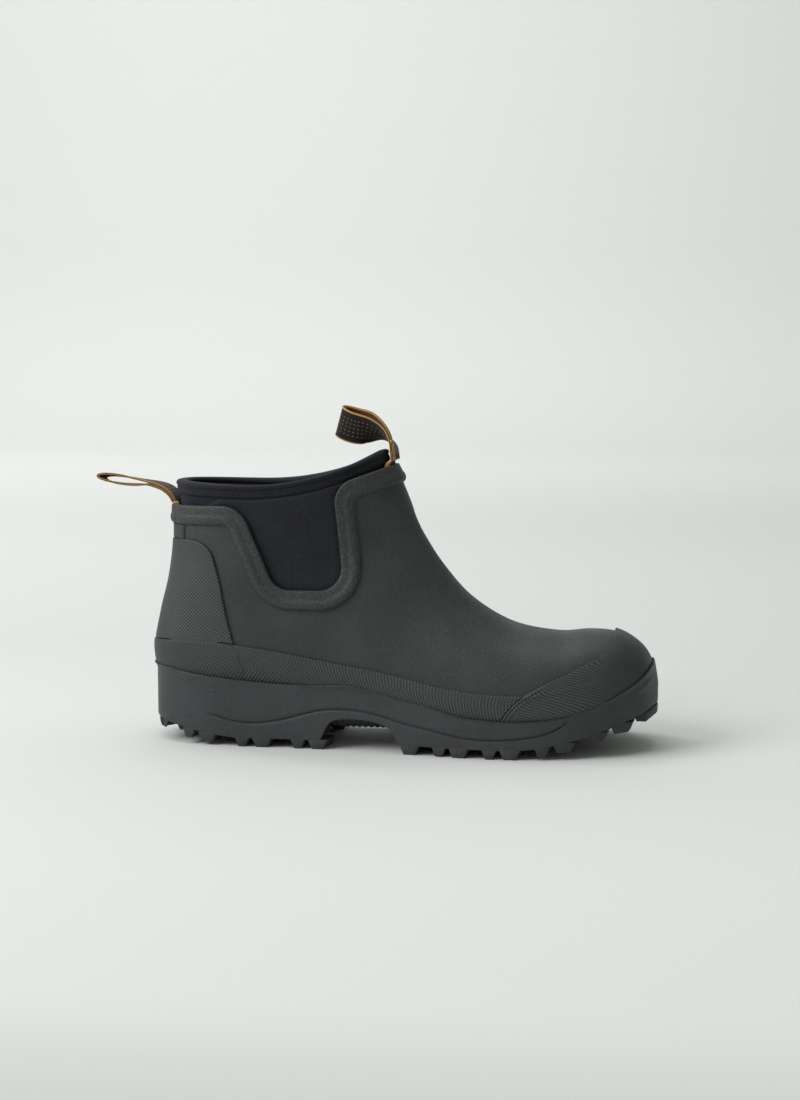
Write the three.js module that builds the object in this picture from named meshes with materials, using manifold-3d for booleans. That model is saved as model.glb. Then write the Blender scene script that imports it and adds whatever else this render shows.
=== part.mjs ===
// Ankle-height rubber rain boot, right foot, EU size 42, built layer by layer on one shoe last.
// Millimetres, +X towards the toe, +Y towards the inner (medial) side, +Z up.
// The origin lies on the ground under the ankle, on the flat tread of the heel.
import * as THREE from 'three';
import { mergeVertices } from 'three/addons/utils/BufferGeometryUtils.js';
import Module from 'manifold-3d';

const wasm = await Module();
wasm.setup();

// ---------------------------------------------------------------- driving dimensions
const GAP = 0.3; // clearance between pieces that touch
const RUBBER = 2.0; // wall of the moulded upper
const LINER_OUT = 4.0; // depth of the liner's outer face below the upper's outer face
const NEOPRENE = 3.0; // thickness of the liner
const CAP_PROUD = 2.1; // outer faces of the overlays above the upper's outer face
const COUNTER_PROUD = 1.5;
const FOXING_PROUD = 1.8;
const STAY_PROUD = 1.1;
const BAND_PROUD = 2.8;
const BAND_HALF = 5.9; // half the width of the topline band
const BINDING_DEPTH = 7.6; // height of the folded binding on each side
const BINDING_WALL = 1.2;
const MARGIN = 17; // width of the upper that is turned in under the insole board
const TOPLINE = 2.6; // the upper ends this far above the middle of the band
const LUG_DEPTH = 5.2; // height of the tread blocks
const TREAD_FLANK = 2.4; // how far a block's foot is set in from its base
const PAIR_STEP = 12; // from the narrow to the wide block of a pair
const SOLE_BASE = 4.0; // rubber left under the heel wedge
const RING_STEPS = 10; // facets from the sole line to the top line on one side
const TAPE_WIDTH = 20; // pull-loop webbing
const TAPE_THICK = 1.2;
const TACK_THICK = 0.5; // thread bar across the webbing

// ---------------------------------------------------------------- the last
// Each station is one cross-section of the upper's outer face. The sections stand upright in the
// forefoot and fan round the ankle until they lie almost flat at the collar.
// top: point on the instep line; low: point on the sole and heel line; half: half-width;
// mid: y of the middle; wide: where along low-to-top it is widest; topPow, lowPow: squareness.
const STATIONS = [
  { top: [240.0, 42.0], low: [240.0, 42.0], half: 0.0, mid: 4.0, wide: 0.4, topPow: 2.2, lowPow: 2.4 },
  { top: [238.6, 49.8], low: [238.8, 34.5], half: 13.0, mid: 4.0, wide: 0.38, topPow: 2.2, lowPow: 2.6 },
  { top: [232.0, 59.6], low: [234.0, 28.0], half: 24.5, mid: 3.7, wide: 0.33, topPow: 2.3, lowPow: 2.9 },
  { top: [219.0, 67.2], low: [219.0, 21.8], half: 35.2, mid: 3.1, wide: 0.29, topPow: 2.4, lowPow: 3.1 },
  { top: [203.0, 68.7], low: [203.0, 17.6], half: 42.0, mid: 2.2, wide: 0.27, topPow: 2.4, lowPow: 3.2 },
  { top: [184.0, 67.4], low: [182.0, 14.8], half: 46.2, mid: 1.2, wide: 0.26, topPow: 2.35, lowPow: 3.2 },
  { top: [157.0, 73.0], low: [150.0, 13.3], half: 46.4, mid: -0.9, wide: 0.25, topPow: 2.2, lowPow: 3.2 },
  { top: [133.0, 88.0], low: [112.0, 15.0], half: 41.3, mid: -2.5, wide: 0.24, topPow: 2.05, lowPow: 3.2 },
  { top: [116.0, 107.0], low: [70.0, 20.0], half: 35.6, mid: -2.6, wide: 0.28, topPow: 2.0, lowPow: 3.3 },
  { top: [104.6, 124.0], low: [20.0, 25.5], half: 34.0, mid: -1.5, wide: 0.36, topPow: 2.05, lowPow: 3.4 },
  { top: [99.2, 134.4], low: [-32.0, 27.0], half: 33.6, mid: -0.6, wide: 0.42, topPow: 2.1, lowPow: 3.2 },
  { top: [96.6, 141.8], low: [-53.0, 34.5], half: 33.4, mid: 0.0, wide: 0.44, topPow: 2.15, lowPow: 2.8 },
  { top: [94.2, 148.0], low: [-59.9, 53.0], half: 33.4, mid: 0.0, wide: 0.45, topPow: 2.2, lowPow: 2.5 },
  { top: [91.6, 154.2], low: [-56.8, 75.0], half: 33.6, mid: 0.0, wide: 0.46, topPow: 2.2, lowPow: 2.35 },
  { top: [89.0, 160.6], low: [-51.2, 98.0], half: 34.2, mid: 0.0, wide: 0.47, topPow: 2.2, lowPow: 2.3 },
  { top: [86.3, 167.2], low: [-48.3, 119.0], half: 34.8, mid: 0.0, wide: 0.48, topPow: 2.2, lowPow: 2.3 },
  { top: [84.4, 173.6], low: [-48.2, 139.0], half: 36.0, mid: 0.0, wide: 0.48, topPow: 2.2, lowPow: 2.3 },
  { top: [83.0, 180.0], low: [-49.3, 157.0], half: 37.4, mid: 0.0, wide: 0.48, topPow: 2.2, lowPow: 2.3 },
  { top: [81.5, 187.0], low: [-49.8, 175.0], half: 38.0, mid: 0.0, wide: 0.48, topPow: 2.2, lowPow: 2.3 },
];
const LAST_END = STATIONS.length - 1;
// rings of the last: closer where the shape turns quickly, at the toe and round the ankle
const RINGS = [0.5, 1, 1.5, 2, 2.5, 3, 4, 5, 6, 6.5, 7, 7.5, 8, 8.5, 9, 9.5, 10, 10.5, 11, 11.5, 12,
  13, 14, 15, 16, 17, 18];

const splineThrough = (pick) => new THREE.CatmullRomCurve3(
  STATIONS.map((station) => new THREE.Vector3(...pick(station))), false, 'catmullrom', 0.5);
const topLine = splineThrough((s) => [s.top[0], 0, s.top[1]]);
const lowLine = splineThrough((s) => [s.low[0], 0, s.low[1]]);
const widths = splineThrough((s) => [s.half, s.mid, s.wide]);
const powers = splineThrough((s) => [s.topPow, s.lowPow, 0]);

/** Cross-section of the last at station number t, its faces moved outwards by grow. */
function sectionAt(t, grow) {
  const u = THREE.MathUtils.clamp(t / LAST_END, 0, 1);
  const [top, low] = [topLine.getPoint(u), lowLine.getPoint(u)];
  const [topTan, lowTan] = [topLine.getTangent(u), lowLine.getTangent(u)];
  top.add(new THREE.Vector3(topTan.z, 0, -topTan.x).multiplyScalar(grow));
  low.add(new THREE.Vector3(-lowTan.z, 0, lowTan.x).multiplyScalar(grow));
  const [width, power] = [widths.getPoint(u), powers.getPoint(u)];
  const half = Math.max(width.x, 0);
  return {
    top, low, half: half + grow * Math.min(1, half / 10), mid: width.y, wide: width.z,
    topPow: power.x, lowPow: power.y,
  };
}

/** Point on the last. turn runs 0 at the low line, 0.5 at the top line by the outer side, 1 back. */
function onLast(t, turn, grow) {
  const s = sectionAt(t, grow);
  const side = turn <= 0.5 ? -1 : 1;
  const angle = 2 * Math.PI * (turn <= 0.5 ? turn : 1 - turn);
  const [c, n] = [Math.cos(angle), Math.max(Math.sin(angle), 0)];
  const pow = 2 / (c > 0 ? s.lowPow : s.topPow);
  const reach = Math.abs(c) ** pow;
  const along = c > 0 ? s.wide * (1 - reach) : s.wide + (1 - s.wide) * reach;
  const p = s.low.clone().lerp(s.top, along);
  p.y = s.mid + side * s.half * n ** pow;
  return p;
}

// ---------------------------------------------------------------- solids and cuts
/** Closed three.js geometry to a manifold. */
function solidOf(geometry) {
  const bare = geometry.index ? geometry.clone() : geometry;
  bare.deleteAttribute('normal');
  bare.deleteAttribute('uv');
  const merged = mergeVertices(bare, 1e-4);
  return new wasm.Manifold(new wasm.Mesh({
    numProp: 3,
    vertProperties: new Float32Array(merged.attributes.position.array),
    triVerts: new Uint32Array(merged.index.array),
  }));
}

/** Manifold back to a three.js geometry. */
function geometryOf(solid) {
  const mesh = solid.getMesh();
  const geometry = new THREE.BufferGeometry();
  geometry.setAttribute('position', new THREE.BufferAttribute(new Float32Array(mesh.vertProperties), 3));
  geometry.setIndex([...mesh.triVerts]);
  geometry.computeVertexNormals();
  return geometry;
}

/** Closed body from rings of equal point count; a ring of one point is a pole. */
function bodyFromRings(rings) {
  const points = rings.flat();
  const starts = [];
  rings.reduce((sum, ring) => { starts.push(sum); return sum + ring.length; }, 0);
  const faces = [];
  for (let r = 0; r + 1 < rings.length; r++) {
    const count = Math.max(rings[r].length, rings[r + 1].length);
    for (let k = 0; k < count; k++) {
      const next = (k + 1) % count;
      const [a, b] = rings[r].length === 1 ? [starts[r], starts[r]] : [starts[r] + k, starts[r] + next];
      const [c, d] = rings[r + 1].length === 1
        ? [starts[r + 1], starts[r + 1]] : [starts[r + 1] + k, starts[r + 1] + next];
      if (a !== b) faces.push(a, b, d);
      if (c !== d) faces.push(a, d, c);
    }
  }
  const geometry = new THREE.BufferGeometry();
  const flat = points.flatMap((p) => [p.x, p.y, p.z]);
  geometry.setAttribute('position', new THREE.Float32BufferAttribute(flat, 3));
  geometry.setIndex(faces);
  const solid = solidOf(geometry);
  if (solid.volume() > 0) return solid;
  geometry.setIndex(faces.reverse());
  return solidOf(geometry);
}

/** Solid inside the surface that place(station, turn) describes, with a lid above the rim. */
function solidInside(place) {
  const count = 2 * RING_STEPS;
  const rings = RINGS.map((t) => Array.from({ length: count }, (_, k) => place(t, k / count)));
  const middle = new THREE.Vector3();
  rings.at(-1).forEach((p) => middle.addScaledVector(p, 1 / count));
  return bodyFromRings([[place(0, 0)], ...rings, [middle]]);
}

/** The last as one solid, its faces moved outwards by grow. */
const lasts = new Map();
function lastSolid(grow) {
  if (!lasts.has(grow)) lasts.set(grow, solidInside((t, turn) => onLast(t, turn, grow)));
  return lasts.get(grow);
}

/** The skin of the last between two depths; both are measured outwards. */
const skin = (outer, inner) => lastSolid(outer).subtract(lastSolid(inner));

/** Prism from a closed list of [x, z] points, seen from the side, between two values of y. */
function sidePrism(points, y0 = -80, y1 = 80) {
  const shape = new THREE.Shape(points.map(([x, z]) => new THREE.Vector2(x, z)));
  const geometry = new THREE.ExtrudeGeometry(shape, { depth: y1 - y0, bevelEnabled: false });
  geometry.rotateX(Math.PI / 2).translate(0, y1, 0);
  return solidOf(geometry);
}

/** Prism from a closed list of [x, y] points, seen from above, between two heights. */
function planPrism(points, z0, z1) {
  const shape = new THREE.Shape(points.map(([x, y]) => new THREE.Vector2(x, y)));
  const geometry = new THREE.ExtrudeGeometry(shape, { depth: z1 - z0, bevelEnabled: false });
  return solidOf(geometry.translate(0, 0, z0));
}

/** Box from its low corner to its high corner. */
function block([x0, y0, z0], [x1, y1, z1]) {
  const geometry = new THREE.BoxGeometry(x1 - x0, y1 - y0, z1 - z0);
  return solidOf(geometry.translate((x0 + x1) / 2, (y0 + y1) / 2, (z0 + z1) / 2));
}

/** Smooth open curve through [x, z] points, sampled into count steps. */
function smooth(points, count) {
  const curve = new THREE.SplineCurve(points.map(([x, z]) => new THREE.Vector2(x, z)));
  return curve.getPoints(count).map((p) => [p.x, p.y]);
}

/** Straight legs between [x, z, radius] corners, each corner rounded with an arc. */
function filleted(corners, arcSteps) {
  const out = [corners[0].slice(0, 2)];
  for (let k = 1; k + 1 < corners.length; k++) {
    const [px, pz, radius] = corners[k];
    const before = new THREE.Vector2(corners[k - 1][0] - px, corners[k - 1][1] - pz).normalize();
    const after = new THREE.Vector2(corners[k + 1][0] - px, corners[k + 1][1] - pz).normalize();
    const half = Math.acos(before.dot(after)) / 2;
    const middle = before.clone().add(after).normalize().multiplyScalar(radius / Math.sin(half));
    const back = radius / Math.tan(half);
    const first = before.clone().multiplyScalar(back).sub(middle);
    const last = after.clone().multiplyScalar(back).sub(middle);
    const sweep = Math.PI - 2 * half;
    const sign = Math.sign(first.x * last.y - first.y * last.x);
    for (let step = 0; step <= arcSteps; step++) {
      const spoke = first.clone().rotateAround(new THREE.Vector2(), sign * sweep * step / arcSteps);
      out.push([px + middle.x + spoke.x, pz + middle.y + spoke.y]);
    }
  }
  out.push(corners.at(-1).slice(0, 2));
  return out;
}

/** The line moved sideways to its left by the given distance. */
function moved(line, distance) {
  return line.map(([x, z], k) => {
    const [ax, az] = line[Math.max(k - 1, 0)];
    const [bx, bz] = line[Math.min(k + 1, line.length - 1)];
    const length = Math.hypot(bx - ax, bz - az);
    return [x - (bz - az) / length * distance, z + (bx - ax) / length * distance];
  });
}

// ---------------------------------------------------------------- lines on the boot, from the side
const groundLine = (x) => {
  if (x < -6) return 8.5 * ((-6 - x) / 53) ** 1.3;
  if (x > 160) return 21.5 * ((x - 160) / 83) ** 1.6;
  return 0;
};
const SOLE_RIM = smooth([[-70, 46.5], [-50, 45], [-26, 41.9], [10, 38.7], [40, 38], [64, 38.7], [86, 34],
  [112, 28.8], [130, 23.9], [150, 22.2], [166, 22], [181, 23.3], [197, 26.6], [211, 31.3], [223, 37.4],
  [233, 43.6], [240, 50.2], [250, 62]], 28);
const FOXING_TOP = smooth([[-70, 59], [-50, 61.5], [-26, 62.6], [-7, 61], [19, 57.8], [43, 53.8], [68, 49.8],
  [92, 45.6], [114, 41], [137, 37.8], [160, 36.8], [200, 37]], 18);
const CAP_EDGE = smooth([[214, 84], [217.6, 68], [211, 59], [203, 54.6], [191, 48.8], [180, 43.8], [169.5, 38],
  [163.5, 34], [158, 28.5], [150, 16]], 16);
const COUNTER_TOP = 121.6;
const COUNTER_EDGE = [[-70, COUNTER_TOP], ...smooth([[-36, COUNTER_TOP + 0.6], [-26.5, 120.8], [-19.6, 115.4],
  [-16.6, 107], [-14, 97], [-10.6, 80], [-6, 62], [-1, 50]], 14)];
const BAND_LINE = filleted([[-70, 135.8], [-5, 137.4, 11], [15.6, 88, 19], [66.5, 88, 19],
  [59.8, 151.5, 9], [110, 168.8]], 7);
const rimHeight = (x) => (x > -5
  ? 155.6 + 22 * ((x + 5) / 91) ** 2.15
  : 155.6 + ((-5 - x) / 42) ** 2);
const RIM_LINE = Array.from({ length: 21 }, (_, k) => {
  const x = -60 + k * 8;
  return [x, rimHeight(x)];
});

/** Region below a line that runs from heel to toe, and below its end's height beyond it. */
const below = (line) => sidePrism([...line, [260, line.at(-1)[1]], [260, -20], [line[0][0], -20]]);
/** Region above a line that runs from heel to toe, and above its end's height beyond it. */
const above = (line) => sidePrism([...line, [260, line.at(-1)[1]], [260, 240], [line[0][0], 240]]);
/** Strip of the band line between two distances to its left. */
const bandStrip = (low, high) => sidePrism([...moved(BAND_LINE, low), ...moved(BAND_LINE, high).reverse()]);

// ---------------------------------------------------------------- outline of the sole, from above
const SOLE_POINTS = [[-60.6, 0], [-54.5, -18.5], [-38, -30.2], [-10, -35.4], [30, -36.4], [65, -38.6],
  [100, -44.2], [130, -49], [156, -50.4], [182, -47.8], [204, -41.2], [223, -31], [237, -17], [243.6, 4],
  [239.5, 23], [226, 37.2], [206, 46.4], [182, 50.3], [155, 48.4], [125, 43], [92, 36.6], [60, 33.6],
  [25, 33.6], [-10, 34.6], [-38, 29.6], [-54.5, 18.5]];
const soleCurve = new THREE.CatmullRomCurve3(
  SOLE_POINTS.map(([x, y]) => new THREE.Vector3(x, y, 0)), true, 'centripetal');
/** Outline of the sole, moved inwards by the given distance. */
function soleOutline(inset, count = 48) {
  return Array.from({ length: count }, (_, k) => {
    const p = soleCurve.getPointAt(k / count);
    const tangent = soleCurve.getTangentAt(k / count);
    return [p.x - tangent.y * inset, p.y + tangent.x * inset];
  });
}

// ---------------------------------------------------------------- outsole
/**
 * One tread block. Its foot on the ground is long by foot, its sides spread by TREAD_FLANK towards
 * the base, and its middle line runs from [x, y] at the outer end to [x, y] at the inner end.
 */
function treadBlock([outerX, outerY], [innerX, innerY], foot) {
  const corner = (x, y, spread, rise) => new THREE.Vector3(x + spread, y, groundLine(x) + rise);
  const ring = (half, rise) => [corner(outerX, outerY, -half, rise), corner(outerX, outerY, half, rise),
    corner(innerX, innerY, half, rise), corner(innerX, innerY, -half, rise)];
  const [foots, base] = [ring(foot / 2, 0), ring(foot / 2 + TREAD_FLANK, LUG_DEPTH + 0.5)];
  const middle = (corners) => [corners.reduce((sum, p) => sum.addScaledVector(p, 0.25), new THREE.Vector3())];
  return bodyFromRings([middle(foots), foots, base, middle(base)]);
}

/** Pairs of a narrow and a wide edge block on both sides, and chevrons down the middle. */
function treadBlocks() {
  const pairs = [-73, -39.5, -5.5, 28.5, 85.5, 115.5, 145.5, 175.5, 205.5, 235.5];
  const blocks = [];
  for (const x of pairs) {
    for (const [start, foot] of [[x, 4], [x + PAIR_STEP, 7]]) {
      for (const side of [-1, 1]) {
        blocks.push(treadBlock([start, side * 62], [start + 7, side * 21], foot));
        blocks.push(treadBlock([start - 13.5, side * 17], [start - 6.5, side * -0.5], foot * 0.8));
      }
    }
  }
  return wasm.Manifold.union(blocks);
}

function outsole() {
  const xs = (from, to, step) => Array.from(
    { length: Math.round((to - from) / step) + 1 }, (_, k) => from + k * step);
  const heelBase = xs(-66, 44, 11).map((x) => [x, groundLine(x) + LUG_DEPTH]);
  const arch = smooth([[46.5, LUG_DEPTH], [50, 13], [53.5, 16.8], [59, 18.4], [69, 18.8], [78, 18], [86.5, 15.4],
    [90.5, 11.5], [94, LUG_DEPTH]], 12);
  const frontBase = xs(96, 250, 11).map((x) => [x, groundLine(x) + LUG_DEPTH]);
  const bottom = [...heelBase, ...arch, ...frontBase];
  const ground = xs(-66, 250, 11).map((x) => [x, groundLine(x)]);
  const outline = planPrism(soleOutline(0), -5, 80);
  // the wall leans in with the upper above its widest line
  const widest = [[-70, 44], [40, 36], [110, 32], [160, 27], [215, 31], [250, 38]];
  const leaning = below(widest).add(lastSolid(3.2));
  let sole = outline.intersect(below(SOLE_RIM)).intersect(above(bottom)).intersect(leaning);
  // waist: a rounded, ribbed bridge that hangs lower than the arch at the sides
  const bridgeShape = new THREE.Shape().absellipse(19, -2, 11.5, 27, 0, 2 * Math.PI);
  const bridgeGeometry = new THREE.ExtrudeGeometry(bridgeShape, { depth: 54, bevelEnabled: false, curveSegments: 8 });
  bridgeGeometry.applyMatrix4(new THREE.Matrix4().makeBasis(
    new THREE.Vector3(0, 0, 1), new THREE.Vector3(0, 1, 0), new THREE.Vector3(-1, 0, 0)));
  bridgeGeometry.translate(97, 0, 0);
  let bridge = solidOf(bridgeGeometry);
  for (let x = 51; x < 92; x += 4) bridge = bridge.subtract(block([x, -40, 0], [x + 1.5, 40, 9.2]));
  bridge = bridge.intersect(block([43, -40, 4], [97, 40, 24]));
  sole = sole.add(bridge);
  const tread = treadBlocks().intersect(outline).intersect(above(ground))
    .subtract(block([46.5, -80, -5], [93.5, 80, 30]));
  sole = sole.add(tread);
  sole = sole.subtract(lastSolid(0.35));
  sole = sole.subtract(heelPocket(0));
  return sole;
}

/** Pocket for the heel wedge in the outsole, made smaller all round by inset. */
function heelPocket(inset) {
  return planPrism(soleOutline(9 + inset, 36), LUG_DEPTH + SOLE_BASE + inset, 60)
    .intersect(block([-60, -50, 0], [42 - inset, 50, 60]))
    .intersect(above([[-70, 16 + inset], [-40, 12 + inset], [-20, 9.5 + inset], [60, 9.5 + inset]]));
}

const heelWedge = () => heelPocket(GAP).subtract(lastSolid(0.35));

// ---------------------------------------------------------------- inside the sole
const BOARD_LIMIT = smooth([[-70, 40], [-20, 36], [40, 30], [90, 25], [150, 22], [200, 25], [250, 33]], 12);

const insoleBoard = () => skin(-RUBBER - GAP, -LINER_OUT + GAP)
  .intersect(planPrism(soleOutline(10, 36), 0, 60)).intersect(below(BOARD_LIMIT));
const shank = () => skin(-0.4, -RUBBER + 0.2).intersect(block([14, -9, 0], [118, 9, 40]));
const forefootFiller = () => skin(-0.3, -RUBBER + 0.1)
  .intersect(planPrism(soleOutline(MARGIN + 0.6, 36), 0, 40)).intersect(block([120, -60, 0], [240, 60, 40]))
  .intersect(below(BOARD_LIMIT));

/** Layer of the footbed between two heights over the low line of the last. */
function footbedLayer(low, high) {
  const line = (rise) => Array.from({ length: 23 }, (_, k) => {
    const t = 1 + k * 0.42;
    const p = lowLine.getPoint(t / LAST_END);
    return [p.x, p.z + rise];
  }).reverse();
  const heel = line(0)[0];
  const band = [...line(high), ...line(low).reverse()];
  band.unshift([heel[0] - 40, heel[1] + high + 1]);
  band.push([heel[0] - 40, heel[1] + low + 1]);
  return lastSolid(-8.4).intersect(sidePrism(band)).intersect(block([-50.5, -60, 0], [230, 60, 60]));
}

// ---------------------------------------------------------------- upper and its overlays
function upperShell() {
  return skin(0, -RUBBER).intersect(below(moved(BAND_LINE, TOPLINE)))
    .subtract(planPrism(soleOutline(MARGIN, 36), 0, 36));
}

const overSole = () => above(SOLE_RIM.map(([x, z]) => [x, z + GAP]));
const capRegion = (shift) => sidePrism([...CAP_EDGE.map(([x, z]) => [x + shift, z]), [270, 0], [270, 90]]);
const toeCap = () => skin(CAP_PROUD, GAP).intersect(capRegion(0)).intersect(overSole());
const foxingStrip = () => skin(FOXING_PROUD, GAP).intersect(below(FOXING_TOP)).intersect(overSole())
  .subtract(capRegion(-GAP));
function heelCounter() {
  const region = sidePrism([...COUNTER_EDGE, [-70, 50]]);
  return skin(COUNTER_PROUD, GAP).intersect(region).intersect(above(FOXING_TOP.map(([x, z]) => [x, z + GAP])));
}
const backStay = () => skin(STAY_PROUD, GAP)
  .intersect(below(moved(BAND_LINE, -BAND_HALF - GAP)))
  .intersect(block([-70, -21, COUNTER_TOP + 1], [-36, 21, 140]));
const toplineBand = () => skin(BAND_PROUD, GAP).intersect(bandStrip(-BAND_HALF, BAND_HALF));
const toePuff = () => skin(-RUBBER - GAP, -LINER_OUT + GAP).intersect(block([196, -70, 34.5], [260, 70, 90]));
function heelStiffener() {
  const region = sidePrism([[-70, 42], [24, 42], [18, 66], [-8, 96], [-70, 104]]);
  return skin(-RUBBER - GAP, -LINER_OUT + GAP).intersect(region);
}

// ---------------------------------------------------------------- soft bootie: liner, gussets, collar
function liner() {
  const under = below(RIM_LINE.map(([x, z]) => [x, z - BINDING_WALL - GAP]));
  return skin(-LINER_OUT, -LINER_OUT - NEOPRENE).intersect(under);
}

function gusset(side) {
  const dip = moved(BAND_LINE, TOPLINE + GAP).filter(([x]) => x > -12 && x < 74);
  const top = RIM_LINE.filter(([x]) => x > -12 && x < 74).map(([x, z]) => [x, z - BINDING_DEPTH - 1]);
  const region = sidePrism([...dip, ...top.reverse()], side < 0 ? -80 : 4, side < 0 ? -4 : 80);
  return skin(-1.9, -LINER_OUT + GAP).intersect(region);
}

/** Station number at which the last reaches the height rimHeight - drop, for one turn value. */
function stationAtRim(turn, drop) {
  let [low, high] = [9, LAST_END];
  for (let k = 0; k < 24; k++) {
    const middle = (low + high) / 2;
    const p = onLast(middle, turn, 0);
    if (p.z > rimHeight(p.x) - drop) high = middle;
    else low = middle;
  }
  return (low + high) / 2;
}

/** Folded tape over the collar's edge: a rounded bar swept round the rim, slotted for the liner. */
function collarBinding() {
  const out = -LINER_OUT + GAP + BINDING_WALL;
  const inn = -LINER_OUT - NEOPRENE - GAP - BINDING_WALL;
  const section = [[out, BINDING_DEPTH], [out, 1.2], [out - 1.6, 0], [inn + 1.6, 0], [inn, 1.2],
    [inn, BINDING_DEPTH]];
  const count = 2 * RING_STEPS;
  const bar = torus(Array.from({ length: count }, (_, k) => section.map(
    ([grow, drop]) => onLast(stationAtRim(k / count, drop), k / count, grow))));
  const slot = skin(-LINER_OUT + GAP, -LINER_OUT - NEOPRENE - GAP)
    .intersect(below(RIM_LINE.map(([x, z]) => [x, z - BINDING_WALL])));
  return bar.subtract(slot);
}

/** Closed ring-shaped body from equal sections. */
function torus(sections) {
  const [count, size] = [sections.length, sections[0].length];
  const faces = [];
  for (let k = 0; k < count; k++) {
    for (let j = 0; j < size; j++) {
      const [a, b] = [k * size + j, k * size + (j + 1) % size];
      const [c, d] = [((k + 1) % count) * size + j, ((k + 1) % count) * size + (j + 1) % size];
      faces.push(a, b, d, a, d, c);
    }
  }
  const geometry = new THREE.BufferGeometry();
  geometry.setAttribute('position',
    new THREE.Float32BufferAttribute(sections.flat().flatMap((p) => [p.x, p.y, p.z]), 3));
  geometry.setIndex(faces);
  const solid = solidOf(geometry);
  if (solid.volume() > 0) return solid;
  geometry.setIndex(faces.reverse());
  return solidOf(geometry);
}

const linerSeamTape = () => skin(-LINER_OUT - NEOPRENE - GAP, -LINER_OUT - NEOPRENE - 0.9)
  .intersect(block([-70, -9, 60], [-20, 9, 138]));

// ---------------------------------------------------------------- pull loops
/**
 * Folded webbing: two plies that run side by side along a middle line and open into an eye.
 * line: [x, y, z] points from the root to the fold; twist: turn of the width at the fold, from a
 * width that lies along Y at the root; eye: half the gap between the plies at its widest.
 */
function pullLoop(line, twist, eye) {
  const curve = new THREE.CatmullRomCurve3(line.map((p) => new THREE.Vector3(...p)), false, 'centripetal');
  const root = TAPE_THICK / 2 + 0.25;
  const steps = 16;
  const frames = [];
  for (let k = -steps; k <= steps; k++) {
    const u = 1 - Math.abs(k / steps) ** 1.6;
    const tangent = curve.getTangentAt(u);
    const width = new THREE.Vector3(0, 1, 0);
    width.applyAxisAngle(tangent, twist * THREE.MathUtils.smoothstep(u, 0.1, 0.8));
    width.addScaledVector(tangent, -width.dot(tangent)).normalize();
    const normal = tangent.clone().cross(width);
    const bulge = root + (eye - root) * THREE.MathUtils.smoothstep(u, 0.35, 0.75);
    const close = Math.sqrt(Math.max(0, 1 - (Math.max(0, u - 0.8) / 0.2) ** 2));
    const centre = curve.getPointAt(u).addScaledVector(normal, -Math.sign(k) * bulge * close);
    frames.push({ centre, width });
  }
  const rings = frames.map((frame, k) => {
    const before = frames[Math.max(k - 1, 0)].centre;
    const after = frames[Math.min(k + 1, frames.length - 1)].centre;
    const run = after.clone().sub(before).normalize();
    const normal = run.cross(frame.width).normalize();
    return [[-1, -1], [1, -1], [1, 1], [-1, 1]].map(([a, b]) => frame.centre.clone()
      .addScaledVector(frame.width, a * TAPE_WIDTH / 2).addScaledVector(normal, b * TAPE_THICK / 2));
  });
  const middle = (ring) => [ring.reduce((sum, p) => sum.addScaledVector(p, 0.25), new THREE.Vector3())];
  return bodyFromRings([middle(rings[0]), ...rings, middle(rings.at(-1))]);
}

const FRONT_LOOP = [[86.3, 0, 169.2], [84.6, 0, 178], [80, -0.5, 184], [71, -1.5, 188], [62, -2, 189.5],
  [53, -2, 192.5]];
const REAR_LOOP = [[-47.3, 0, 143.3], [-49.4, 0, 147], [-54, 0, 150.8], [-62, 0, 153.4], [-76, 0, 154.8],
  [-95, 0, 157.2]];
const FRONT_TWIST = THREE.MathUtils.degToRad(68);
const REAR_TWIST = THREE.MathUtils.degToRad(8);

/** Close-set stitches across a loop's outer ply at its root; line is the loop's middle line. */
function bartack(line, side) {
  const [root, next] = [new THREE.Vector3(...line[0]), new THREE.Vector3(...line[1])];
  const run = next.clone().sub(root).normalize();
  const out = run.clone().cross(new THREE.Vector3(0, 1, 0)).multiplyScalar(side);
  const rise = 2.2;
  const clear = TAPE_THICK + 0.25 + GAP + TACK_THICK / 2;
  const at = root.clone().addScaledVector(run, rise).addScaledVector(out, clear);
  const geometry = new THREE.BoxGeometry(TACK_THICK, 14, 1.6);
  geometry.applyMatrix4(new THREE.Matrix4().makeBasis(out, new THREE.Vector3(0, 1, 0), run.clone()
    .multiplyScalar(-side)).setPosition(at));
  return solidOf(geometry);
}

// ---------------------------------------------------------------- finishes and the assembly
const finish = (color, roughness, metalness = 0) => new THREE.MeshStandardMaterial(
  { color, roughness, metalness });
const rubber = finish(0x3f4342, 0.62);
const soleRubber = finish(0x3a3e3d, 0.6);
const neoprene = finish(0x1f2024, 0.9);
const webbing = finish(0x1c1a18, 0.85);
const foam = finish(0x2b2d30, 0.95);
const board = finish(0xa58a63, 0.9);
const steel = finish(0x8c9094, 0.35, 0.9);
const sponge = finish(0x4a4a48, 0.95);
const fabric = finish(0x24262a, 0.95);
const thread = finish(0x17171a, 0.7);

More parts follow.
